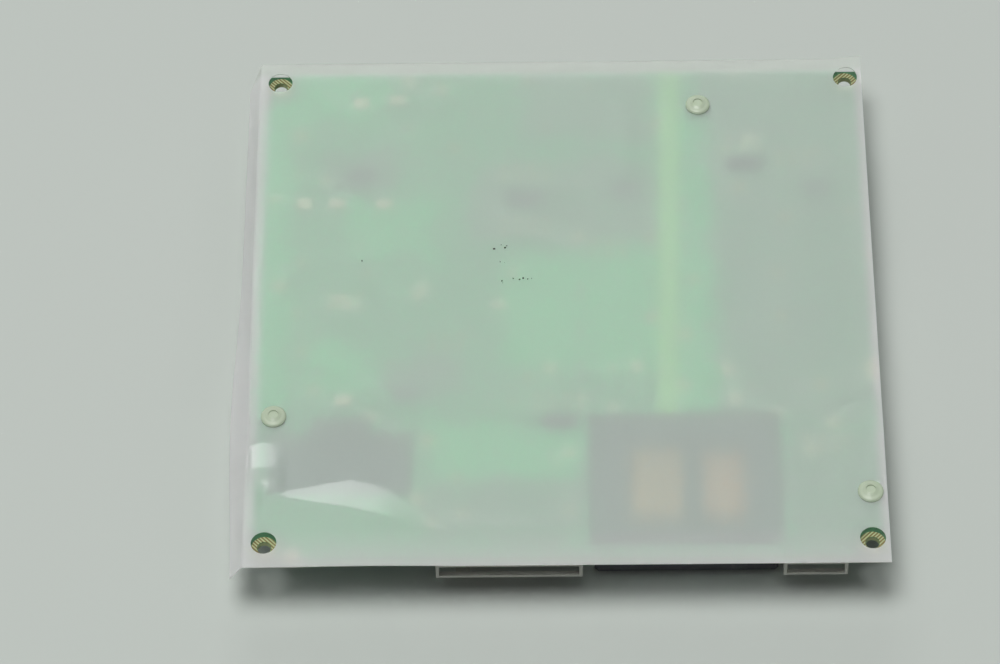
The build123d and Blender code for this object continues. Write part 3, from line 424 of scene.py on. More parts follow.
@dataclass(frozen=True)
class PlatedPad(Finish):
    """Gold plated ring pad under slanted stripes of solder."""

    name: str = "plated_pad"
    slot: str = "gold_pad"
    gold: Colour = (0.28, 0.215, 0.08)
    solder: Colour = (0.46, 0.52, 0.29)
    pitch: float = 0.0008

    def surface(self, graph: Graph) -> Wire:
        """Builds the shader."""
        x, y, _ = graph.axes()
        turned = x.rise(-0.001, 0.001) * 2.0 - 1.0
        line = abs(((x * turned - y) * math.sqrt(0.5) % self.pitch) / self.pitch - 0.5).rise(0.20, 0.34)
        grain = graph.noise(1500.0, 2.0)
        return graph.principled(
            Base_Color=graph.blend(line, graph.blend(grain, self.gold, shade(self.gold, 0.6)), self.solder),
            Metallic=0.3,
            Roughness=0.5 - line * 0.12 + grain * 0.1,
            Normal=graph.relief(line, 0.00012, 0.8),
        )


@dataclass(frozen=True)
class Moulded(Finish):
    """Moulded or dipped plastic with fine grain, soft mottle and a little dust."""

    name: str
    slot: str
    colour: Colour
    roughness: float = 0.5
    grain: float = 1500.0
    relief: float = 0.00002
    mottle: float = 0.12
    gloss: float = 0.0
    glow: float = 0.0
    dust: float = 0.05

    def surface(self, graph: Graph) -> Wire:
        """Builds the shader."""
        grain = graph.noise(self.grain, 2.0)
        cloud = graph.noise(130.0, 3.0)
        colour = graph.blend(cloud.rise(0.3, 0.7), self.colour, shade(self.colour, 1.0 - self.mottle))
        settled = graph.noise(420.0, 4.0, 0.7).rise(0.55, 0.8) * self.dust
        colour = graph.blend(settled, colour, (0.55, 0.54, 0.5))
        return graph.principled(
            Base_Color=colour,
            Roughness=(cloud * 0.12 + (self.roughness - 0.06)) + settled,
            Coat_Weight=self.gloss,
            Coat_Roughness=0.15,
            Subsurface_Weight=self.glow,
            Subsurface_Radius=(0.0008, 0.0008, 0.0007),
            Normal=graph.relief(grain, self.relief, 0.5),
        )


@dataclass(frozen=True)
class Metal(Finish):
    """Bare metal with drawn or rolled streaks along one axis."""

    name: str
    slot: str
    colour: Colour
    roughness: float = 0.3
    streaks: Point = (900.0, 900.0, 900.0)
    relief: float = 0.00001
    tarnish: Colour = (0.35, 0.33, 0.30)
    stained: float = 0.25

    def surface(self, graph: Graph) -> Wire:
        """Builds the shader."""
        drawn = graph.noise(1.0, 3.0, at=graph.scaled(self.streaks))
        cloud = graph.noise(110.0, 3.0)
        stain = cloud.rise(0.5, 0.8) * self.stained
        clean = graph.blend(drawn, self.colour, shade(self.colour, 0.86))
        return graph.principled(
            Base_Color=graph.blend(stain, clean, self.tarnish),
            Metallic=0.95 - stain * 0.4,
            Roughness=drawn * 0.14 + (self.roughness - 0.05) + stain * 0.3,
            Normal=graph.relief(drawn, self.relief, 0.6),
        )


@dataclass(frozen=True)
class EnamelledCopper(Finish):
    """Enamelled copper wire, each turn a little different."""

    name: str
    slot: str
    colour: Colour
    along: Point = (0.0, 0.0, 1.0)
    pitch: float = 0.0006
    roughness: float = 0.32

    def surface(self, graph: Graph) -> Wire:
        """Builds the shader."""
        scale = tuple(axis / self.pitch if axis else 12.0 for axis in self.along)
        turns = graph.noise(1.0, 0.0, at=graph.scaled(scale))
        drift = graph.noise(160.0, 2.0)
        colour = graph.blend(turns.rise(0.35, 0.65), self.colour, shade(self.colour, 0.72))
        return graph.principled(
            Base_Color=graph.blend(drift.rise(0.5, 0.8) * 0.3, colour, shade(self.colour, 0.5)),
            Metallic=0.6,
            Roughness=turns * 0.12 + self.roughness,
            Coat_Weight=0.6,
            Coat_Roughness=0.2,
        )


@dataclass(frozen=True)
class LeadedBody(Finish):
    """A moulded body between bare metal leads or tabs, told apart by place along one axis."""

    name: str
    slot: str
    colour: Colour
    metal: Colour
    axis: int
    low: float
    high: float
    roughness: float = 0.55

    def surface(self, graph: Graph) -> Wire:
        """Builds the shader."""
        body = graph.axes()[self.axis].inside(self.low, self.high, 0.00002)
        grain = graph.noise(1300.0, 2.0)
        drawn = graph.noise(500.0, 3.0)
        plastic = graph.blend(grain, self.colour, shade(self.colour, 0.8))
        tinned = graph.blend(drawn, self.metal, shade(self.metal, 0.8))
        return graph.principled(
            Base_Color=graph.blend(body, tinned, plastic),
            Metallic=0.9 - body * 0.9,
            Roughness=body * (self.roughness - 0.3) + 0.3 + drawn * 0.08,
            Normal=graph.relief(grain, 0.00002, 0.5),
        )


# White nylon of the headers, darkened as painted shade for the dim space under the sheet's front edge.
NYLON_PAINTED_SHADE = Moulded(
    "white_nylon", "white_nylon", (0.38, 0.38, 0.345), 0.42, relief=0.00001, mottle=0.04, glow=0.25
)
RIVET_NYLON = Moulded(
    "natural_nylon",
    "natural_nylon",
    (0.48, 0.565, 0.425),
    relief=0.00001,
    mottle=0.05,
    gloss=0.2,
    glow=0.6,
    dust=0.0,
)
FERRITE = Moulded("ferrite", "ferrite", (0.05, 0.05, 0.062), 0.55, 700.0, 0.00004, 0.2, dust=0.12)
PHENOLIC = Moulded("black_phenolic", "black_phenolic", (0.022, 0.022, 0.022), 0.42, gloss=0.15)
EPOXY = Moulded("black_epoxy", "black_epoxy", (0.03, 0.03, 0.03), 0.6)
MID_EPOXY = Moulded("grey_epoxy", "black_epoxy", (0.09, 0.10, 0.09), 0.6)
BOX_GREY = Moulded("grey_box", "grey_box", (0.26, 0.29, 0.31), 0.45, mottle=0.06, gloss=0.1)
BOX_RED = Moulded("red_box", "red_box", (0.20, 0.024, 0.016), 0.4, mottle=0.06, gloss=0.2)
SLEEVE = Moulded("dark_sleeve", "dark_sleeve", (0.013, 0.016, 0.026), 0.3, 500.0, mottle=0.1, gloss=0.4)
SLEEVE_BAND = Moulded("sleeve_band", "dark_sleeve", (0.30, 0.31, 0.33), 0.3, 500.0, mottle=0.1, gloss=0.4)
TAPE = Moulded("yellow_tape", "yellow_tape", (0.72, 0.50, 0.05), 0.25, 300.0, mottle=0.1, gloss=0.5)
BLUE_RESIN = Moulded("blue_resin", "blue_resin", (0.02, 0.10, 0.34), 0.3, 350.0, 0.00008, 0.1, 0.5)
LACQUER = Moulded("resistor_lacquer", "resistor_lacquer", (0.22, 0.33, 0.42), 0.3, 350.0, 0.00005, 0.1, 0.5)
CERAMIC = Moulded("pale_ceramic", "pale_ceramic", (0.78, 0.66, 0.48), 0.45, 700.0, mottle=0.1)
SOLDER = Metal("solder", "solder", (0.80, 0.80, 0.78), 0.26, (500.0, 500.0, 500.0), 0.00003, stained=0.15)
TINNED = Metal("tinned_lead", "tinned_lead", (0.76, 0.75, 0.72))
ALUMINIUM = Metal(
    "plain_aluminium", "plain_aluminium", (0.80, 0.81, 0.82), 0.34, (3000.0, 12.0, 3000.0), 0.00003
)
CAN_END = Metal("can_end", "plain_aluminium", (0.82, 0.82, 0.82), stained=0.1)
ZINC = Metal("zinc_steel", "zinc_steel", (0.70, 0.71, 0.73), stained=0.2)
DIRT = Moulded("dark_specks", "dark_resin", (0.03, 0.03, 0.025), 0.8, dust=0.0)


# Modelling moves


class Axis(Enum):
    """Axis that a turned piece stands on."""

    X = "X"
    Y = "Y"
    Z = "Z"

    def turn(self) -> Matrix:
        """Gives the turn that lays a piece made along Z on this axis."""
        if self is Axis.X:
            return Matrix.Rotation(math.pi / 2, 4, "Y")
        if self is Axis.Y:
            return Matrix.Rotation(-math.pi / 2, 4, "X")
        return Matrix.Identity(4)


class Bench:
    """Modelling moves, made with Blender's operators as by hand."""

    @staticmethod
    def clear() -> None:
        """Leaves edit mode and deselects everything."""
        if bpy.context.object and bpy.context.object.mode != "OBJECT":
            bpy.ops.object.mode_set(mode="OBJECT")
        bpy.ops.object.select_all(action="DESELECT")

    @staticmethod
    def pick(piece: bpy.types.Object, rule: Callable[[Vector], bool]) -> None:
        """Selects the vertices, edges and faces whose vertices all pass a rule, in edit mode."""
        bpy.ops.mesh.select_all(action="DESELECT")
        grid = bmesh.from_edit_mesh(piece.data)
        for vertex in grid.verts:
            vertex.select = rule(vertex.co)
        grid.select_flush(True)
        bmesh.update_edit_mesh(piece.data)

    @staticmethod
    def tidy(piece: bpy.types.Object, smooth: float = 40.0) -> bpy.types.Object:
        """Merges doubles, turns the faces outwards and smooths the shading."""
        Bench.clear()
        piece.select_set(True)
        bpy.context.view_layer.objects.active = piece
        bpy.ops.object.mode_set(mode="EDIT")
        bpy.ops.mesh.select_all(action="SELECT")
        bpy.ops.mesh.remove_doubles(threshold=0.000002)
        bpy.ops.mesh.normals_make_consistent(inside=False)
        bpy.ops.object.mode_set(mode="OBJECT")
        bpy.ops.object.shade_smooth_by_angle(angle=math.radians(smooth))
        return piece

    @staticmethod
    def lathe(
        name: str, profile: Sequence[Tuple[float, float]], axis: Axis, centre: Point, steps: int
    ) -> bpy.types.Object:
        """Turns a profile of radius and height into a piece.

        Args:
            name: Name of the piece.
            profile: Radius and height of each point.
            axis: Axis that the piece stands on.
            centre: Place of the profile's origin.
            steps: Facets round the piece.

        Returns:
            The turned piece.
        """
        Bench.clear()
        bpy.ops.mesh.primitive_plane_add(size=0.001)
        piece = bpy.context.object
        piece.name = name
        bpy.ops.object.mode_set(mode="EDIT")
        bpy.ops.mesh.select_all(action="SELECT")
        bpy.ops.mesh.merge(type="CENTER")
        bpy.ops.transform.translate(value=(profile[0][0], 0.0, profile[0][1]))
        for (radius, height), (next_radius, next_height) in zip(profile, profile[1:]):
            move = (next_radius - radius, 0.0, next_height - height)
            bpy.ops.mesh.extrude_vertices_move(TRANSFORM_OT_translate={"value": move})
        bpy.ops.mesh.select_all(action="SELECT")
        bpy.ops.mesh.spin(steps=steps, angle=2 * math.pi, center=(0.0, 0.0, 0.0), axis=(0.0, 0.0, 1.0))
        bpy.ops.object.mode_set(mode="OBJECT")
        piece.data.transform(Matrix.Translation(centre) @ axis.turn())
        return Bench.tidy(piece)

    @staticmethod
    def wire(name: str, points: Sequence[Point], radius: float, bend: float) -> bpy.types.Object:
        """Makes a round wire along straight runs with rounded bends.

        Args:
            name: Name of the piece.
            points: Corners of the route.
            radius: Radius of the wire.
            bend: Length of each run that a bend takes.

        Returns:
            The wire.
        """
        Bench.clear()
        corners = [Vector(point) for point in points]
        route = [corners[0]]
        for before, corner, after in zip(corners, corners[1:], corners[2:]):
            start = corner + (before - corner).normalized() * bend
            end = corner + (after - corner).normalized() * bend
            for share in (0.0, 0.25, 0.5, 0.75, 1.0):
                route.append(start.lerp(corner, share).lerp(corner.lerp(end, share), share))
        route.append(corners[-1])
        line = bpy.data.curves.new(name, "CURVE")
        line.dimensions = "3D"
        line.bevel_depth = radius
        line.bevel_resolution = 1
        line.use_fill_caps = True
        spline = line.splines.new("POLY")
        spline.points.add(len(route) - 1)
        for point, place in zip(spline.points, route):
            point.co = (*place, 1.0)
        piece = bpy.data.objects.new(name, line)
        bpy.context.scene.collection.objects.link(piece)
        piece.select_set(True)
        bpy.context.view_layer.objects.active = piece
        bpy.ops.object.convert(target="MESH")
        return Bench.tidy(bpy.context.object)

    @staticmethod
    def ring(
        name: str, centre: Vector, half: Tuple[float, float], corner: float, wire: float, axis: Axis
    ) -> bpy.types.Object:
        """Makes one turn of wire round a rectangle with round corners.

        Args:
            name: Name of the piece.
            centre: Middle of the turn.
            half: Half the width and half the depth, to the middle of the wire.
            corner: Radius of the corners, to the middle of the wire.
            wire: Radius of the wire.
            axis: Axis that the turn goes round.

        Returns:
            The turn.
        """
        Bench.clear()
        facets = 20
        bpy.ops.mesh.primitive_torus_add(
            major_segments=facets, minor_segments=6, major_radius=corner, minor_radius=wire
        )
        piece = bpy.context.object
        piece.name = name
        piece.data.transform(Matrix.Rotation(math.pi / facets, 4, "Z"))
        bpy.ops.object.mode_set(mode="EDIT")
        for place in (0, 1):
            for side in (-1.0, 1.0):
                Bench.pick(piece, lambda point: point[place] * side > 0.0)
                move = [0.0, 0.0, 0.0]
                move[place] = side * (half[place] - corner)
                bpy.ops.transform.translate(value=move)
        bpy.ops.object.mode_set(mode="OBJECT")
        piece.data.transform(Matrix.Translation(centre) @ axis.turn())
        return piece

    @staticmethod
    def array(piece: bpy.types.Object, count: int, step: Point) -> bpy.types.Object:
        """Repeats a piece along a step and applies the repeats."""
        Bench.clear()
        piece.select_set(True)
        bpy.context.view_layer.objects.active = piece
        rows = piece.modifiers.new("rows", "ARRAY")
        rows.count = count
        rows.use_relative_offset = False
        rows.use_constant_offset = True
        rows.constant_offset_displace = step
        bpy.ops.object.modifier_apply(modifier=rows.name)
        return piece

    @staticmethod
    def copies(piece: bpy.types.Object, places: Iterable[Sequence[float]]) -> bpy.types.Object:
        """Copies a piece, each copy with its own mesh, to each place and joins them."""
        Bench.clear()
        first, *others = [Vector(place) for place in places]
        twins = []
        for place in others:
            twin = piece.copy()
            twin.data = piece.data.copy()
            twin.data.transform(Matrix.Translation(place))
            bpy.context.scene.collection.objects.link(twin)
            twins.append(twin)
        piece.data.transform(Matrix.Translation(first))
        return Bench.join([piece, *twins])

    @staticmethod
    def join(pieces: Sequence[bpy.types.Object]) -> bpy.types.Object:
        """Joins pieces into the first."""
        Bench.clear()
        for piece in pieces:
            piece.select_set(True)
        bpy.context.view_layer.objects.active = pieces[0]
        if len(pieces) > 1:
            bpy.ops.object.join()
        return pieces[0]

    @staticmethod
    def cut(piece: bpy.types.Object, cutter: bpy.types.Object) -> bpy.types.Object:
        """Cuts one piece away from another and drops the cutter."""
        Bench.clear()
        piece.select_set(True)
        bpy.context.view_layer.objects.active = piece
        opening = piece.modifiers.new("opening", "BOOLEAN")
        opening.operation = "DIFFERENCE"
        opening.solver = "EXACT"
        opening.object = cutter
        bpy.ops.object.modifier_apply(modifier=opening.name)
        bpy.data.objects.remove(cutter)
        return piece

    @staticmethod
    def sculpt(piece: bpy.types.Object, move: Callable[[Vector], Vector]) -> None:
        """Moves each vertex by a rule."""
        for vertex in piece.data.vertices:
            vertex.co = move(vertex.co)
        piece.data.update()

    @staticmethod
    def paint(
        piece: bpy.types.Object,
        finishes: Sequence[Finish],
        rule: Optional[Callable[[Vector, Vector], int]] = None,
    ) -> None:
        """Gives a piece its finishes, told apart by the place and normal of each face."""
        piece.data.materials.clear()
        for finish in finishes:
            piece.data.materials.append(finish.material())
        for face in piece.data.polygons:
            face.material_index = rule(face.center, face.normal) if rule else 0

    @staticmethod
    def hand_over(piece: bpy.types.Object, finish: Finish, replaces: Sequence[str] = ()) -> None:
        """Fixes a finished piece to the board's body and hides the CAD parts that it stands for."""
        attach(piece, ROOT)
        if replaces:
            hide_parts(*replaces)
        log.info("%s: %d faces", piece.name, len(piece.data.polygons))

    @staticmethod
    def deliver(
        pieces: Sequence[bpy.types.Object], name: str, finish: Finish, replaces: Sequence[str] = ()
    ) -> None:
        """Joins pieces under one name, gives them one finish and hands them over."""
        whole = Bench.join(pieces)
        whole.name = name
        Bench.paint(whole, [finish])
        Bench.hand_over(whole, finish, replaces)


def solids(node: str) -> List[Tuple[Vector, Vector]]:
    """Finds the separate solids of a CAD node.

    Args:
        node: Name of the node.

    Returns:
        The lowest and highest corner of each solid, sorted by place.
    """
    grid = bmesh.new()
    grid.from_mesh(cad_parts[node].data)
    bmesh.ops.remove_doubles(grid, verts=grid.verts, dist=0.000002)
    waiting = set(grid.verts)
    boxes = []
    while waiting:
        seed = waiting.pop()
        group, edge = [seed], [seed]
        while edge:
            vertex = edge.pop()
            for link in vertex.link_edges:
                other = link.other_vert(vertex)
                if other in waiting:
                    waiting.remove(other)
                    group.append(other)
                    edge.append(other)
        corners = [[pick(vertex.co[place] for vertex in group) for place in range(3)] for pick in (min, max)]
        boxes.append((Vector(corners[0]), Vector(corners[1])))
    grid.free()
    return sorted(boxes, key=lambda box: tuple(round(value, 5) for value in box[0]))


def middles(boxes: Sequence[Tuple[Vector, Vector]]) -> List[Point]:
    """Gives the middle of each box in plan, at level 0."""
    return [(*((low + high) / 2).xy, 0.0) for low, high in boxes]


# Sub-assemblies


@dataclass(frozen=True)
class Crease:
    """A buckle in the sheet: an even slope behind a crest, and a soft fall in front of it.

    Attributes:
        start: Point that the crest starts from, or its middle where the slope is an arch.
        heading: Direction of the crest, in degrees from X.
        half_length: Half the length of the crest.
        reach: Length of the slope behind the crest.
        front_reach: Length of the fall in front of it.
        fan: Growth of the slope's length along the crest, or 0 for an arch.
        slope: Steepness behind the crest.
        fade: Quickness with which a fan dies away past the crest's half length.
    """

    start: Tuple[float, float]
    heading: float
    half_length: float
    reach: float
    front_reach: float
    fan: float = 0.0
    slope: float = 0.125
    fade: float = 1.6

    def height(self, x: float, y: float) -> float:
        """Gives the height of the buckle over a point of the sheet."""
        turn = math.radians(self.heading)
        away = (x - self.start[0], y - self.start[1])
        along = away[0] * math.cos(turn) + away[1] * math.sin(turn)
        behind = away[1] * math.cos(turn) - away[0] * math.sin(turn)
        if self.fan:
            reach = min(self.reach, max(0.0, along) * self.fan)
            past = max(0.0, along - self.half_length) / self.half_length
            reach *= math.exp(-((past * self.fade) ** 2))
        else:
            reach = self.reach * math.sqrt(max(0.0, 1.0 - (along / self.half_length) ** 2))
        if behind > 0.0:
            return self.slope * max(0.0, reach - behind)
        return self.slope * reach * math.exp(-((behind / self.front_reach) ** 2))


@dataclass
class InsulationSheet:
    """Milky sheet over the solder side, with a flap folded down along its left edge."""

    thickness: float = 0.0003
    hole_radius: float = 0.0035
    shank_radius: float = 0.0016
    fold_radius: float = 0.0008
    fold_overhang: float = 0.0008
    flap_length: float = 0.0067
    flap_angle: float = math.radians(58.0)
    taper: float = 0.0058
    flap_bow: float = math.radians(23.0)
    bow_y: float = -0.038
    bow_spread: float = 0.030
    creases: Tuple[Crease, ...] = (
        Crease((-0.0834, -0.0570), -2.0, 0.0060, 0.0105, 0.0060),
        Crease((-0.0872, -0.0655), 0.0, 0.0032, 0.0075, 0.0050),
        Crease((-0.0832, -0.0643), -15.0, 0.0290, 0.0112, 0.0150, 0.50, 0.138),
    )
    corner_rise: float = 0.0013
    corner_reach: float = 0.0055
    wave: float = 0.00006
    rows: int = 170
    fold_steps: int = 6
    flap_steps: int = 4
    finish: Finish = field(default_factory=MilkyFilm)

    def build(self) -> None:
        """Makes the sheet, cuts its holes and lets it lie in low waves."""
        low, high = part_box("insulation_sheet")
        self.low, self.high = low, high
        self.middle = high.z - self.thickness / 2
        self.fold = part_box("circuit_board")[0].x - self.fold_overhang
        Bench.clear()
        bpy.ops.mesh.primitive_grid_add(x_subdivisions=self.rows, y_subdivisions=self.rows, size=1.0)
        sheet = bpy.context.object
        sheet.name = "milky_sheet"
        size = Vector((high.x - self.fold, high.y - low.y, 1.0))
        centre = Vector(((high.x + self.fold) / 2, (high.y + low.y) / 2, self.middle))
        sheet.data.transform(Matrix.Translation(centre) @ Matrix.Diagonal((*size, 1.0)))
        self.fold_flap(sheet)
        Bench.sculpt(sheet, self.settle)
        self.thicken(sheet)
        self.punch(sheet)
        Bench.tidy(sheet, 50.0)
        Bench.paint(sheet, [self.finish])
        Bench.hand_over(sheet, self.finish, ["insulation_sheet"])

    def fold_flap(self, sheet: bpy.types.Object) -> None:
        """Spins the left edge down round the fold and draws the flap out of it."""
        bpy.ops.object.mode_set(mode="EDIT")
        Bench.pick(sheet, lambda point: point.x < self.fold + 0.00001)
        pivot = (self.fold, 0.0, self.middle - self.fold_radius)
        bpy.ops.mesh.spin(
            steps=self.fold_steps, angle=self.flap_angle, center=pivot, axis=(0.0, 1.0, 0.0)
        )
        run = (self.flap_length - self.fold_radius * self.flap_angle) / self.flap_steps
        step = (-math.cos(self.flap_angle) * run, 0.0, -math.sin(self.flap_angle) * run)
        for _ in range(self.flap_steps):
            bpy.ops.mesh.extrude_edges_move(TRANSFORM_OT_translate={"value": step})
        bpy.ops.mesh.select_all(action="SELECT")
        bpy.ops.mesh.remove_doubles(threshold=0.000002)
        corner = (self.fold, self.high.y, 0.0)
        reach = self.flap_length * math.cos(self.flap_angle)
        across = Vector((-self.taper, reach, 0.0)).normalized()
        bpy.ops.mesh.bisect(plane_co=corner, plane_no=across, clear_outer=True)
        bpy.ops.object.mode_set(mode="OBJECT")

    def settle(self, point: Vector) -> Vector:
        """Gives a point its place on the sheet as it lies, a little bowed and buckled."""
        x, y, z = point
        if x < self.fold:
            bow = -self.flap_bow * math.exp(-(((y - self.bow_y) / self.bow_spread) ** 2))
            arm = Vector((x - self.fold, z - self.middle + self.fold_radius))
            turned = Matrix.Rotation(bow, 2) @ arm
            x = self.fold + turned.x
            z = self.middle - self.fold_radius + turned.y
        return Vector((x, y, z + self.lift(max(x, self.fold), y)))

    def lift(self, x: float, y: float) -> float:
        """Gives the height of the sheet's waves over its flat rest."""
        corner = math.hypot(x - self.high.x, y - self.high.y)
        rise = self.corner_rise * math.exp(-((corner / self.corner_reach) ** 2))
        rise += self.wave * math.sin(x * 52.0 + 1.0) * math.sin(y * 41.0)
        rise += sum(crease.height(x, y) for crease in self.creases)
        return rise

    def thicken(self, sheet: bpy.types.Object) -> None:
        """Gives the sheet its wall."""
        Bench.clear()
        sheet.select_set(True)
        bpy.context.view_layer.objects.active = sheet
        wall = sheet.modifiers.new("wall", "SOLIDIFY")
        wall.thickness = self.thickness
        wall.offset = 0.0
        bpy.ops.object.modifier_apply(modifier=wall.name)

    def punch(self, sheet: bpy.types.Object) -> None:
        """Cuts the openings over the screw holes and the rivets' holes."""
        rounds = [(x, y, self.hole_radius) for x, y, _ in middles(solids("mounting_pads"))]
        rounds += [(x, y, self.shank_radius) for x, y, _ in middles(solids("push_rivet_grommets"))]
        cutters = []
        for x, y, radius in rounds:
            Bench.clear()
            place = (x, y, self.middle)
            bpy.ops.mesh.primitive_cylinder_add(vertices=40, radius=radius, depth=0.01, location=place)
            bpy.ops.object.transform_apply(location=True, rotation=True, scale=True)
            cutters.append(bpy.context.object)
        Bench.cut(sheet, Bench.join(cutters))


@dataclass
class PushRivets:
    """Three domed rivets that hold the sheet to the board."""

    head_radius: float = 0.0035
    head_rim: float = 0.0004
    head_height: float = 0.0011
    recess_radius: float = 0.00135
    recess_depth: float = 0.000015
    recess_slope: float = 0.0004

    def build(self) -> None:
        """Turns the head once and copies it to each rivet."""
        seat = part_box("insulation_sheet")[1].z
        crown = seat + self.head_height
        dome_start = self.recess_radius + self.recess_slope
        profile = [(0.0, crown - self.recess_depth), (self.recess_radius, crown - self.recess_depth)]
        profile.append((dome_start, crown))
        for share in (0.2, 0.4, 0.6, 0.8, 0.92, 1.0):
            run = dome_start + (self.head_radius - dome_start) * share
            drop = (self.head_height - self.head_rim) * (1.0 - math.sqrt(max(0.0, 1.0 - share ** 2)))
            profile.append((run, crown - drop))
        profile += [(self.head_radius, seat), (0.0, seat)]
        head = Bench.lathe("push_rivet_heads", profile, Axis.Z, ORIGIN, 40)
        heads = Bench.copies(head, middles(solids("push_rivet_grommets")))
        Bench.deliver([heads], "push_rivet_heads", RIVET_NYLON)


@dataclass
class SolderSide:
    """Solder joints on the board's upper face, and the specks of dirt on the sheet."""

    joint_radius: float = 0.00115
    tip_radius: float = 0.00033
    joint_height: float = 0.0019
    flare: float = 2.4
    specks: Tuple[Tuple[float, float, float], ...] = (
        (-0.0200, 0.0187, 0.00042),
        (-0.0180, 0.0201, 0.00022),
        (-0.0169, 0.0190, 0.00050),
        (-0.0164, 0.0197, 0.00030),
        (-0.0183, 0.0141, 0.00030),
        (-0.0170, 0.0137, 0.00016),
        (-0.0178, 0.0073, 0.00042),
        (-0.0176, 0.0066, 0.00020),
        (-0.0146, 0.0081, 0.00025),
        (-0.0128, 0.0078, 0.00030),
        (-0.0118, 0.0082, 0.00042),
        (-0.0105, 0.0079, 0.00035),
        (-0.0094, 0.0081, 0.00022),
        (-0.0575, 0.0149, 0.00028),
    )

    def build(self) -> None:
        """Turns one fillet of solder and copies it to every lead."""
        tip, top = self.tip_radius, self.joint_height
        profile = [(0.0, top), (tip * 0.8, top), (tip, top * 0.93)]
        for share in (0.7, 0.45, 0.25, 0.1, 0.0):
            run = tip + (self.joint_radius - tip) * (1.0 - share) ** self.flare
            profile.append((run, top * 0.86 * share))
        profile.append((0.0, 0.0))
        joint = Bench.lathe("solder_fillets", profile, Axis.Z, ORIGIN, 10)
        joints = Bench.copies(joint, middles(solids("solder_joints")))
        Bench.deliver([joints], "solder_fillets", SOLDER, ["solder_joints"])
        self.scatter_specks(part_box("insulation_sheet")[1].z)

    def scatter_specks(self, level: float) -> None:
        """Lays flat crumbs of dirt on the sheet."""
        crumbs = []
        for place, (x, y, size) in enumerate(self.specks):
            Bench.clear()
            spot = (x, y, level + 0.0001)
            bpy.ops.mesh.primitive_ico_sphere_add(subdivisions=1, radius=size, location=spot)
            crumb = bpy.context.object
            crumb.rotation_euler = (0.3 * place, 0.7 * place, 1.1 * place)
            crumb.scale = (1.0 + 0.3 * math.sin(place), 0.7, 0.35)
            bpy.ops.object.transform_apply(location=True, rotation=True, scale=True)
            crumbs.append(crumb)
        Bench.deliver(crumbs, "dirt_specks", DIRT)


@dataclass
class Winding:
    """Enamelled wire wound in even turns inside the space of a CAD winding."""

    node: str
    axis: Axis
    wire: float
    corner: float
    finish: Finish
    slack: float = 0.98

    def build(self) -> None:
        """Makes one turn and repeats it along the coil."""
        coils = []
        along = "XYZ".index(self.axis.value)
        for place, (low, high) in enumerate(solids(self.node)):
            size = high - low
            count = int(size[along] / (2 * self.wire))
            pitch = size[along] / count
            spans = {Axis.X: (size.z, size.y), Axis.Y: (size.x, size.z), Axis.Z: (size.x, size.y)}
            width, depth = spans[self.axis]
            centre = (low + high) / 2
            centre[along] = low[along] + pitch / 2
            half = (width / 2 - self.wire, depth / 2 - self.wire)
            name = f"{self.node}_turns_{place}"
            turn = Bench.ring(name, centre, half, self.corner, self.wire * self.slack, self.axis)
            step = [0.0, 0.0, 0.0]
            step[along] = pitch
            coils.append(Bench.array(turn, count, step))
        coil = Bench.tidy(Bench.join(coils), 60.0)
        Bench.deliver([coil], f"{self.node}_turns", self.finish, [self.node])


@dataclass
class CanCapacitors:
    """Electrolytic cans in shrunk sleeves, closed end down, each with a scored vent."""

    node: str
    crimp_depth: float = 0.0004
    crimp_height: float = 0.0022
    crimp_run: float = 0.0006
    bare_end: float = 0.84
    stripe: float = 0.9
    score_width: float = 0.00025
    score_depth: float = 0.0003

    def build(self) -> None:
        """Turns one can, scores its vent and copies it to each place."""
        cans = solids(self.node)
        low, high = cans[0]
        self.radius = radius = (high.x - low.x) / 2
        self.end = end = low.z
        top = high.z
        crimp = top - self.crimp_height
        profile = [(0.0, top), (radius * 0.9, top), (radius * 0.98, top - 0.0002)]
        profile += [(radius, top - self.crimp_run), (radius, crimp + self.crimp_run)]
        profile += [(radius - self.crimp_depth, crimp), (radius, crimp - self.crimp_run)]
        profile += [(radius, end + 0.0007), (radius * 0.97, end + 0.0001), (radius * 0.92, end)]
        profile += [(radius * self.bare_end, end + 0.00005), (radius * (self.bare_end - 0.01), end + 0.0002)]
        profile.append((0.0, end + self.score_depth / 2))
        can = Bench.lathe(f"{self.node}_cans", profile, Axis.Z, ORIGIN, 40)
        self.score(can)
        Bench.paint(can, [SLEEVE, CAN_END, SLEEVE_BAND], self.zone)
        group = Bench.copies(can, middles(cans))
        Bench.hand_over(group, SLEEVE, [self.node])

    def zone(self, place: Vector, normal: Vector) -> int:
        """Tells the sleeve, the bare end and the plain stripe apart."""
        if place.z < self.end + 0.0006 and place.xy.length < self.radius * self.bare_end:
            return 1
        side = abs(normal.z) < 0.5 and place.z > self.end + 0.001 and place.y > self.radius * self.stripe
        return 2 if side else 0

    def score(self, can: bpy.types.Object) -> None:
        """Scores a cross into the closed end."""
        bars = []
        length = self.radius * 1.1
        for size in ((length, self.score_width), (self.score_width, length)):
            Bench.clear()
            bpy.ops.mesh.primitive_cube_add(size=1.0, location=(0.0, 0.0, self.end + self.score_depth / 2))
            bars.append(bpy.context.object)
            bars[-1].scale = (*size, self.score_depth)
            bpy.ops.object.transform_apply(location=True, rotation=True, scale=True)
        for bar in bars:
            Bench.cut(can, bar)


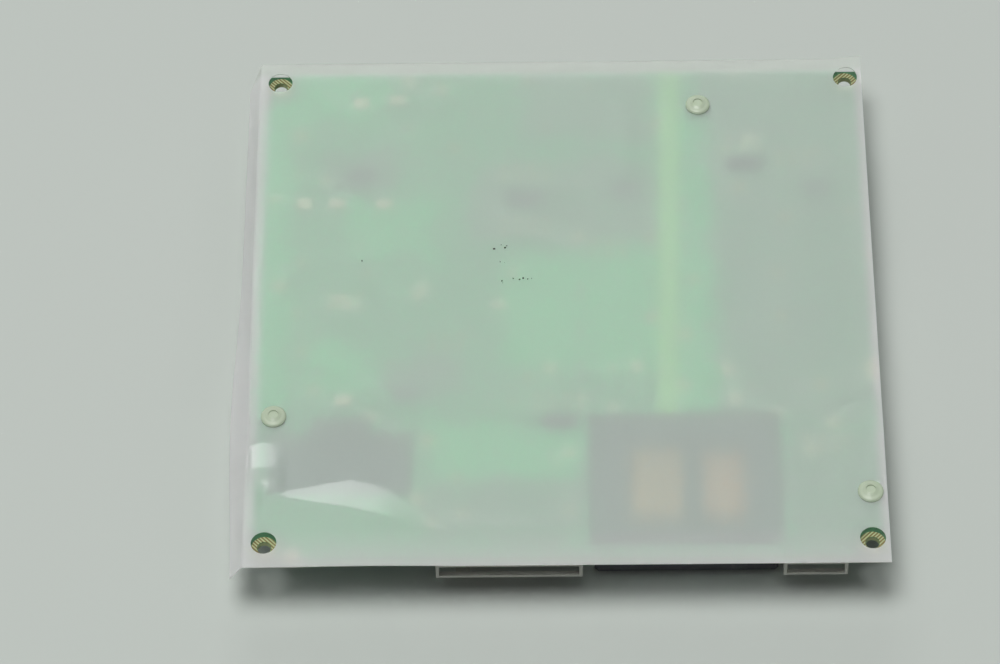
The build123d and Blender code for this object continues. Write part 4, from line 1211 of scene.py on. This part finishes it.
@dataclass
class BulkCapacitor:
    """Large sleeved can lying on its side, crimped near the end that its leads leave."""

    crimp_offset: float = 0.004
    crimp_depth: float = 0.0009
    crimp_runs: Tuple[float, float] = (0.0005, 0.0014)
    roll: float = 0.0016
    rim: float = 0.0006
    recess: float = 0.0004

    def build(self) -> None:
        """Turns the can along X."""
        low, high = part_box("bulk_capacitor")
        radius = (high.y - low.y) / 2
        length = high.x - low.x
        crimp = length - self.crimp_offset
        profile = [(0.0, 0.0003), (radius * 0.82, 0.0003), (radius * 0.83, 0.0), (radius - self.roll, 0.0)]
        for turn in (30.0, 60.0, 90.0):
            angle = math.radians(turn)
            profile.append((radius - self.roll * (1 - math.sin(angle)), self.roll * (1 - math.cos(angle))))
        near, far = self.crimp_runs
        shoulder = radius - self.crimp_depth * 0.7
        profile += [(radius, crimp - far), (shoulder, crimp - near), (radius - self.crimp_depth, crimp)]
        profile += [(shoulder, crimp + near), (radius, crimp + far), (radius, length - self.rim)]
        profile += [(radius * 0.97, length), (radius * 0.85, length)]
        profile += [(radius * 0.84, length - self.recess), (0.0, length - self.recess)]
        centre = (low.x, (low.y + high.y) / 2, (low.z + high.z) / 2)
        can = Bench.lathe("bulk_capacitor_can", profile, Axis.X, centre, 64)
        rubber_from = high.x - self.rim
        Bench.paint(
            can, [SLEEVE, PHENOLIC], lambda place, normal: int(place.x > rubber_from and abs(normal.x) > 0.9)
        )
        Bench.hand_over(can, SLEEVE, ["bulk_capacitor"])


@dataclass
class DippedDiscs:
    """Resin-dipped discs on edge, on bent tinned leads."""

    node: str
    finish: Finish
    stand: float = 0.0018
    lead_radius: float = 0.0003
    lead_inset: float = 0.00032
    swell: Tuple[Tuple[float, float], ...] = ((0.6, 1.0), (0.82, 0.92), (0.95, 0.6), (1.0, 0.15))

    def build(self) -> None:
        """Turns each disc's swollen rim and bends its leads to the board."""
        discs, leads = [], []
        for place, (low, high) in enumerate(solids(self.node)):
            radius = (high.z - self.stand - low.z) / 2
            half = (high.y - low.y) / 2
            centre = Vector(((low.x + high.x) / 2, (low.y + high.y) / 2, low.z + radius))
            face = [(0.0, half * 0.9)] + [(radius * out, half * up) for out, up in self.swell]
            profile = face + [(run, -height) for run, height in reversed(face)]
            discs.append(Bench.lathe(f"{self.node}_disc_{place}", profile, Axis.Y, centre, 32))
            for side in (-1.0, 1.0):
                foot = (high.x if side > 0 else low.x) - side * self.lead_inset
                route = [(centre.x + side * radius * 0.4, centre.y, centre.z + radius * 0.8)]
                route += [(foot, centre.y, high.z - 0.0009), (foot, centre.y, high.z)]
                leads.append(Bench.wire(f"{self.node}_lead_{place}", route, self.lead_radius, 0.0004))
        Bench.deliver(discs, f"{self.node}_discs", self.finish, [self.node])
        Bench.deliver(leads, f"{self.node}_leads", TINNED)


@dataclass
class Jumpers:
    """Bare wire links that lie along the component side."""

    radius: float = 0.0003
    bend: float = 0.0007

    def build(self) -> None:
        """Bends a link for each pair of holes."""
        links = []
        for place, (low, high) in enumerate(solids("jumper_wires")):
            y, level = (low.y + high.y) / 2, low.z + self.radius
            left, right = low.x + self.radius, high.x - self.radius
            route = [(left, y, high.z), (left, y, level), (right, y, level), (right, y, high.z)]
            links.append(Bench.wire(f"jumper_{place}", route, self.radius, self.bend))
        Bench.deliver(links, "jumper_links", TINNED, ["jumper_wires"])


@dataclass
class PowerResistors:
    """Lacquered resistors with swollen ends."""

    body_length: float = 0.012
    lead_radius: float = 0.00035
    lead_inset: float = 0.00032
    lead_bend: float = 0.0008
    cap: Tuple[Tuple[float, float], ...] = (
        (0.0, 0.0),
        (0.7, 0.0001),
        (0.97, 0.0007),
        (1.0, 0.0014),
        (1.0, 0.0022),
        (0.86, 0.0032),
    )

    def build(self) -> None:
        """Turns each body and bends its leads."""
        bodies, leads = [], []
        for place, (low, high) in enumerate(solids("power_resistors")):
            radius = (high.y - low.y) / 2
            centre = Vector(((low.x + high.x) / 2, (low.y + high.y) / 2, low.z + radius))
            half = self.body_length / 2
            near_end = [(radius * out, along - half) for out, along in self.cap]
            profile = near_end + [(run, -height) for run, height in reversed(near_end)]
            bodies.append(Bench.lathe(f"resistor_body_{place}", profile, Axis.X, centre, 24))
            for side in (-1.0, 1.0):
                foot = (high.x if side > 0 else low.x) - side * self.lead_inset
                route = [(centre.x + side * half * 0.9, centre.y, centre.z)]
                route += [(foot, centre.y, centre.z), (foot, centre.y, high.z)]
                leads.append(Bench.wire(f"resistor_lead_{place}", route, self.lead_radius, self.lead_bend))
        Bench.deliver(bodies, "resistor_bodies", LACQUER, ["power_resistors"])
        Bench.deliver(leads, "resistor_leads", TINNED)


@dataclass
class OutputChokes:
    """Drum chokes in shrunk sleeves that draw in at the waist."""

    waist: float = 0.0007
    flange: float = 0.0022
    edge: float = 0.0005
    recess: float = 0.0002
    bare_end: float = 0.78

    def build(self) -> None:
        """Turns one choke and copies it to each place."""
        chokes = solids("output_chokes")
        low, high = chokes[0]
        radius, top, end = (high.x - low.x) / 2, high.z, low.z
        upper, lower = top - self.flange, end + self.flange
        profile = [(0.0, top), (radius * 0.94, top), (radius, top - self.edge), (radius, upper)]
        for share in (0.25, 0.5, 0.75):
            dip = self.waist * math.sin(math.pi * share) ** 0.6
            profile.append((radius - dip, upper * (1 - share) + lower * share))
        profile += [(radius, lower), (radius, end + self.edge), (radius * 0.95, end), (radius * 0.8, end)]
        profile += [(radius * self.bare_end, end + self.recess), (0.0, end + self.recess)]
        choke = Bench.lathe("output_choke_drums", profile, Axis.Z, ORIGIN, 40)
        core_end = end + self.recess + 0.0001
        core_radius = radius * self.bare_end
        Bench.paint(
            choke,
            [SLEEVE, FERRITE],
            lambda place, _: int(place.z < core_end and place.xy.length < core_radius),
        )
        group = Bench.copies(choke, middles(chokes))
        Bench.hand_over(group, SLEEVE, ["output_chokes"])


@dataclass
class Dressing:
    """Finishes of the pieces whose shape stays as it is."""

    tab_length: float = 0.0063
    body_length: float = 0.0092
    bridge_width: float = 0.019
    thermistor_width: float = 0.015
    opto_width: float = 0.0065
    bare_metal: Colour = (0.72, 0.71, 0.69)
    dark_resin: Colour = (0.045, 0.05, 0.045)
    black: Colour = (0.03, 0.03, 0.03)
    ivory: Colour = (0.60, 0.60, 0.55)

    def build(self) -> None:
        """Gives each remaining node its finish."""
        for node, finish in self.finishes().items():
            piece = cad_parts[node]
            piece.data.materials.clear()
            piece.data.materials.append(finish.material())
            log.info("%s wears %s", node, finish.name)

    def finishes(self) -> Dict[str, Finish]:
        """Lists the finish of each node."""
        plain = {
            NYLON_PAINTED_SHADE: ("wide_header_housing", "narrow_header_housing", "mains_header_housing"),
            RIVET_NYLON: ("push_rivet_grommets", "push_rivet_pins"),
            FERRITE: (
                "transformer_core_left",
                "transformer_core_right",
                "power_factor_choke_core_upper",
                "power_factor_choke_core_lower",
                "standby_transformer_core_upper",
                "standby_transformer_core_lower",
                "line_choke_cores",
            ),
            PHENOLIC: (
                "transformer_bobbin",
                "power_factor_choke_bobbin",
                "standby_transformer_bobbin",
                "line_choke_bases",
            ),
            EPOXY: ("fuse", "control_chips"),
            MID_EPOXY: ("surface_diodes",),
            BOX_GREY: ("line_capacitor_1", "line_capacitor_2", "resonant_capacitor"),
            BOX_RED: ("bus_capacitor",),
            TINNED: (
                "transformer_pins",
                "bulk_capacitor_leads",
                "wide_header_pins",
                "narrow_header_pins",
                "mains_header_pins",
            ),
            ALUMINIUM: ("primary_heat_sink", "secondary_heat_sink"),
            ZINC: ("heat_sink_screws", "device_clamps"),
            CERAMIC: ("large_chip_capacitors", "small_chips"),
            TAPE: ("standby_transformer_winding",),
            Laminate(): ("circuit_board",),
            PlatedPad(): ("mounting_pads",),
        }
        chosen = {node: finish for finish, nodes in plain.items() for node in nodes}
        for node in ("power_factor_diode", "power_factor_switch", "half_bridge_switches"):
            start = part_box(node)[0].x + self.tab_length
            chosen[node] = self.device(node, start, start + self.body_length)
        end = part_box("output_rectifiers")[1].x - self.tab_length
        chosen["output_rectifiers"] = self.device("output_rectifiers", end - self.body_length, end)
        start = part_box("bridge_rectifier")[0].x
        chosen["bridge_rectifier"] = self.device("bridge_rectifier", start, start + self.bridge_width)
        low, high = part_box("optocouplers")
        middle = (low.x + high.x) / 2
        half = self.opto_width / 2
        chosen["optocouplers"] = self.device("optocouplers", middle - half, middle + half, self.ivory)
        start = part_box("inrush_thermistor")[0].x
        ends = (start, start + self.thermistor_width)
        chosen["inrush_thermistor"] = self.device("inrush_thermistor", *ends, self.dark_resin, "dark_resin")
        return chosen

    def device(
        self, node: str, low: float, high: float, colour: Colour = black, slot: str = "black_epoxy"
    ) -> Finish:
        """Gives a moulded body between bare metal, along X."""
        return LeadedBody(f"{node}_body", slot, colour, self.bare_metal, 0, low, high)


# Studio


@dataclass(frozen=True)
class Viewpoint:
    """Camera that looks down on the front of the board."""

    target: Point = (-0.01836, -0.01044, 0.0026)
    distance: float = 1.21298
    elevation: float = math.radians(54.08)
    azimuth: float = math.radians(1.14)
    roll: float = math.radians(-1.47)
    lens: float = 155.84
    sensor: float = 36.0

    def build(self) -> bpy.types.Object:
        """Places the camera.

        Returns:
            The camera object.
        """
        flat = math.cos(self.elevation)
        rise = math.sin(self.elevation)
        back = Vector((math.sin(self.azimuth) * flat, -math.cos(self.azimuth) * flat, rise))
        right = (-back).cross(Vector((0.0, 0.0, 1.0))).normalized()
        up = right.cross(-back)
        turned_right = math.cos(self.roll) * right + math.sin(self.roll) * up
        turned_up = math.cos(self.roll) * up - math.sin(self.roll) * right
        bpy.ops.object.camera_add()
        camera = bpy.context.object
        camera.name = "studio_camera"
        camera.data.lens = self.lens
        camera.data.sensor_width = self.sensor
        camera.data.clip_end = 10.0
        stand = Matrix.Translation(Vector(self.target) + back * self.distance)
        camera.matrix_world = stand @ Matrix((turned_right, turned_up, back)).transposed().to_4x4()
        bpy.context.scene.camera = camera
        return camera


@dataclass
class Studio:
    """Pale floor, soft light and camera round the board."""

    floor_level: float
    floor_size: float = 6.0
    floor_colour: Colour = (0.52, 0.56, 0.525)
    sky: float = 0.15
    key_size: float = 1.4
    key_power: float = 72.5
    key_place: Point = (-0.38, -0.24, 2.97)
    window_size: float = 1.6
    window_height: float = 0.62
    window_power: float = 11.5
    window_place: Point = (-0.35, 2.33, 1.84)

    def build(self) -> None:
        """Makes the floor, the lamps, the world and the camera."""
        bpy.ops.mesh.primitive_plane_add(size=self.floor_size, location=(0, 0, self.floor_level))
        floor = bpy.context.object
        floor.name = "studio_floor"
        material = bpy.data.materials.new("studio_floor")
        material.use_nodes = True
        graph = Graph(material.node_tree)
        graph.finish(graph.principled(Base_Color=self.floor_colour, Roughness=0.9, Specular_IOR_Level=0.0))
        floor.data.materials.append(material)
        floor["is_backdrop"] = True
        world = bpy.data.worlds.new("studio_world")
        world.use_nodes = True
        bpy.context.scene.world = world
        graph = Graph(world.node_tree)
        sky = graph.node("ShaderNodeBackground", sockets={"Color": (1.0, 1.0, 1.0), "Strength": self.sky})
        graph.finish(sky, "ShaderNodeOutputWorld")
        self.lamp("key_light", self.key_place, (self.key_size, self.key_size), self.key_power)
        window = (self.window_size, self.window_height)
        self.lamp("window_light", self.window_place, window, self.window_power)
        Viewpoint().build()
        bpy.context.scene.view_settings.view_transform = "Standard"

    @staticmethod
    def lamp(name: str, place: Point, size: Tuple[float, float], power: float) -> bpy.types.Object:
        """Adds a rectangular area lamp that faces the board."""
        bpy.ops.object.light_add(type="AREA", location=place)
        lamp = bpy.context.object
        lamp.name = name
        lamp.data.shape = "RECTANGLE"
        lamp.data.size, lamp.data.size_y = size
        lamp.data.energy = power
        lamp.rotation_euler = Vector(place).to_track_quat("Z", "Y").to_euler()
        return lamp


def main() -> None:
    """Builds the pieces, dresses the rest and sets up the studio."""
    cad_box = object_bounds()
    Dressing().build()
    InsulationSheet().build()
    PushRivets().build()
    SolderSide().build()
    copper = (0.98, 0.40, 0.17)
    along_x = (1.0, 0.0, 0.0)
    primary = EnamelledCopper("primary_wire", "taped_copper", (0.80, 0.42, 0.19), along_x)
    secondary = EnamelledCopper("secondary_wire", "bright_copper", copper, along_x, 0.001)
    choke = EnamelledCopper("choke_wire", "bright_copper", copper)
    line_choke = EnamelledCopper("line_wire", "bright_copper", copper, along_x, 0.0008)
    Winding("primary_winding", Axis.X, 0.0003, 0.0035, primary).build()
    Winding("secondary_winding", Axis.X, 0.0005, 0.0035, secondary).build()
    Winding("power_factor_choke_winding", Axis.Z, 0.00035, 0.003, choke).build()
    Winding("line_choke_windings", Axis.X, 0.0004, 0.0022, line_choke).build()
    for node in ("output_capacitors", "standby_capacitors", "control_capacitors"):
        CanCapacitors(node).build()
    BulkCapacitor().build()
    DippedDiscs("noise_capacitors", BLUE_RESIN).build()
    DippedDiscs("varistor", BLUE_RESIN).build()
    Jumpers().build()
    PowerResistors().build()
    OutputChokes().build()
    Studio(cad_box[0][2]).build()


if __name__ == "__main__":
    main()
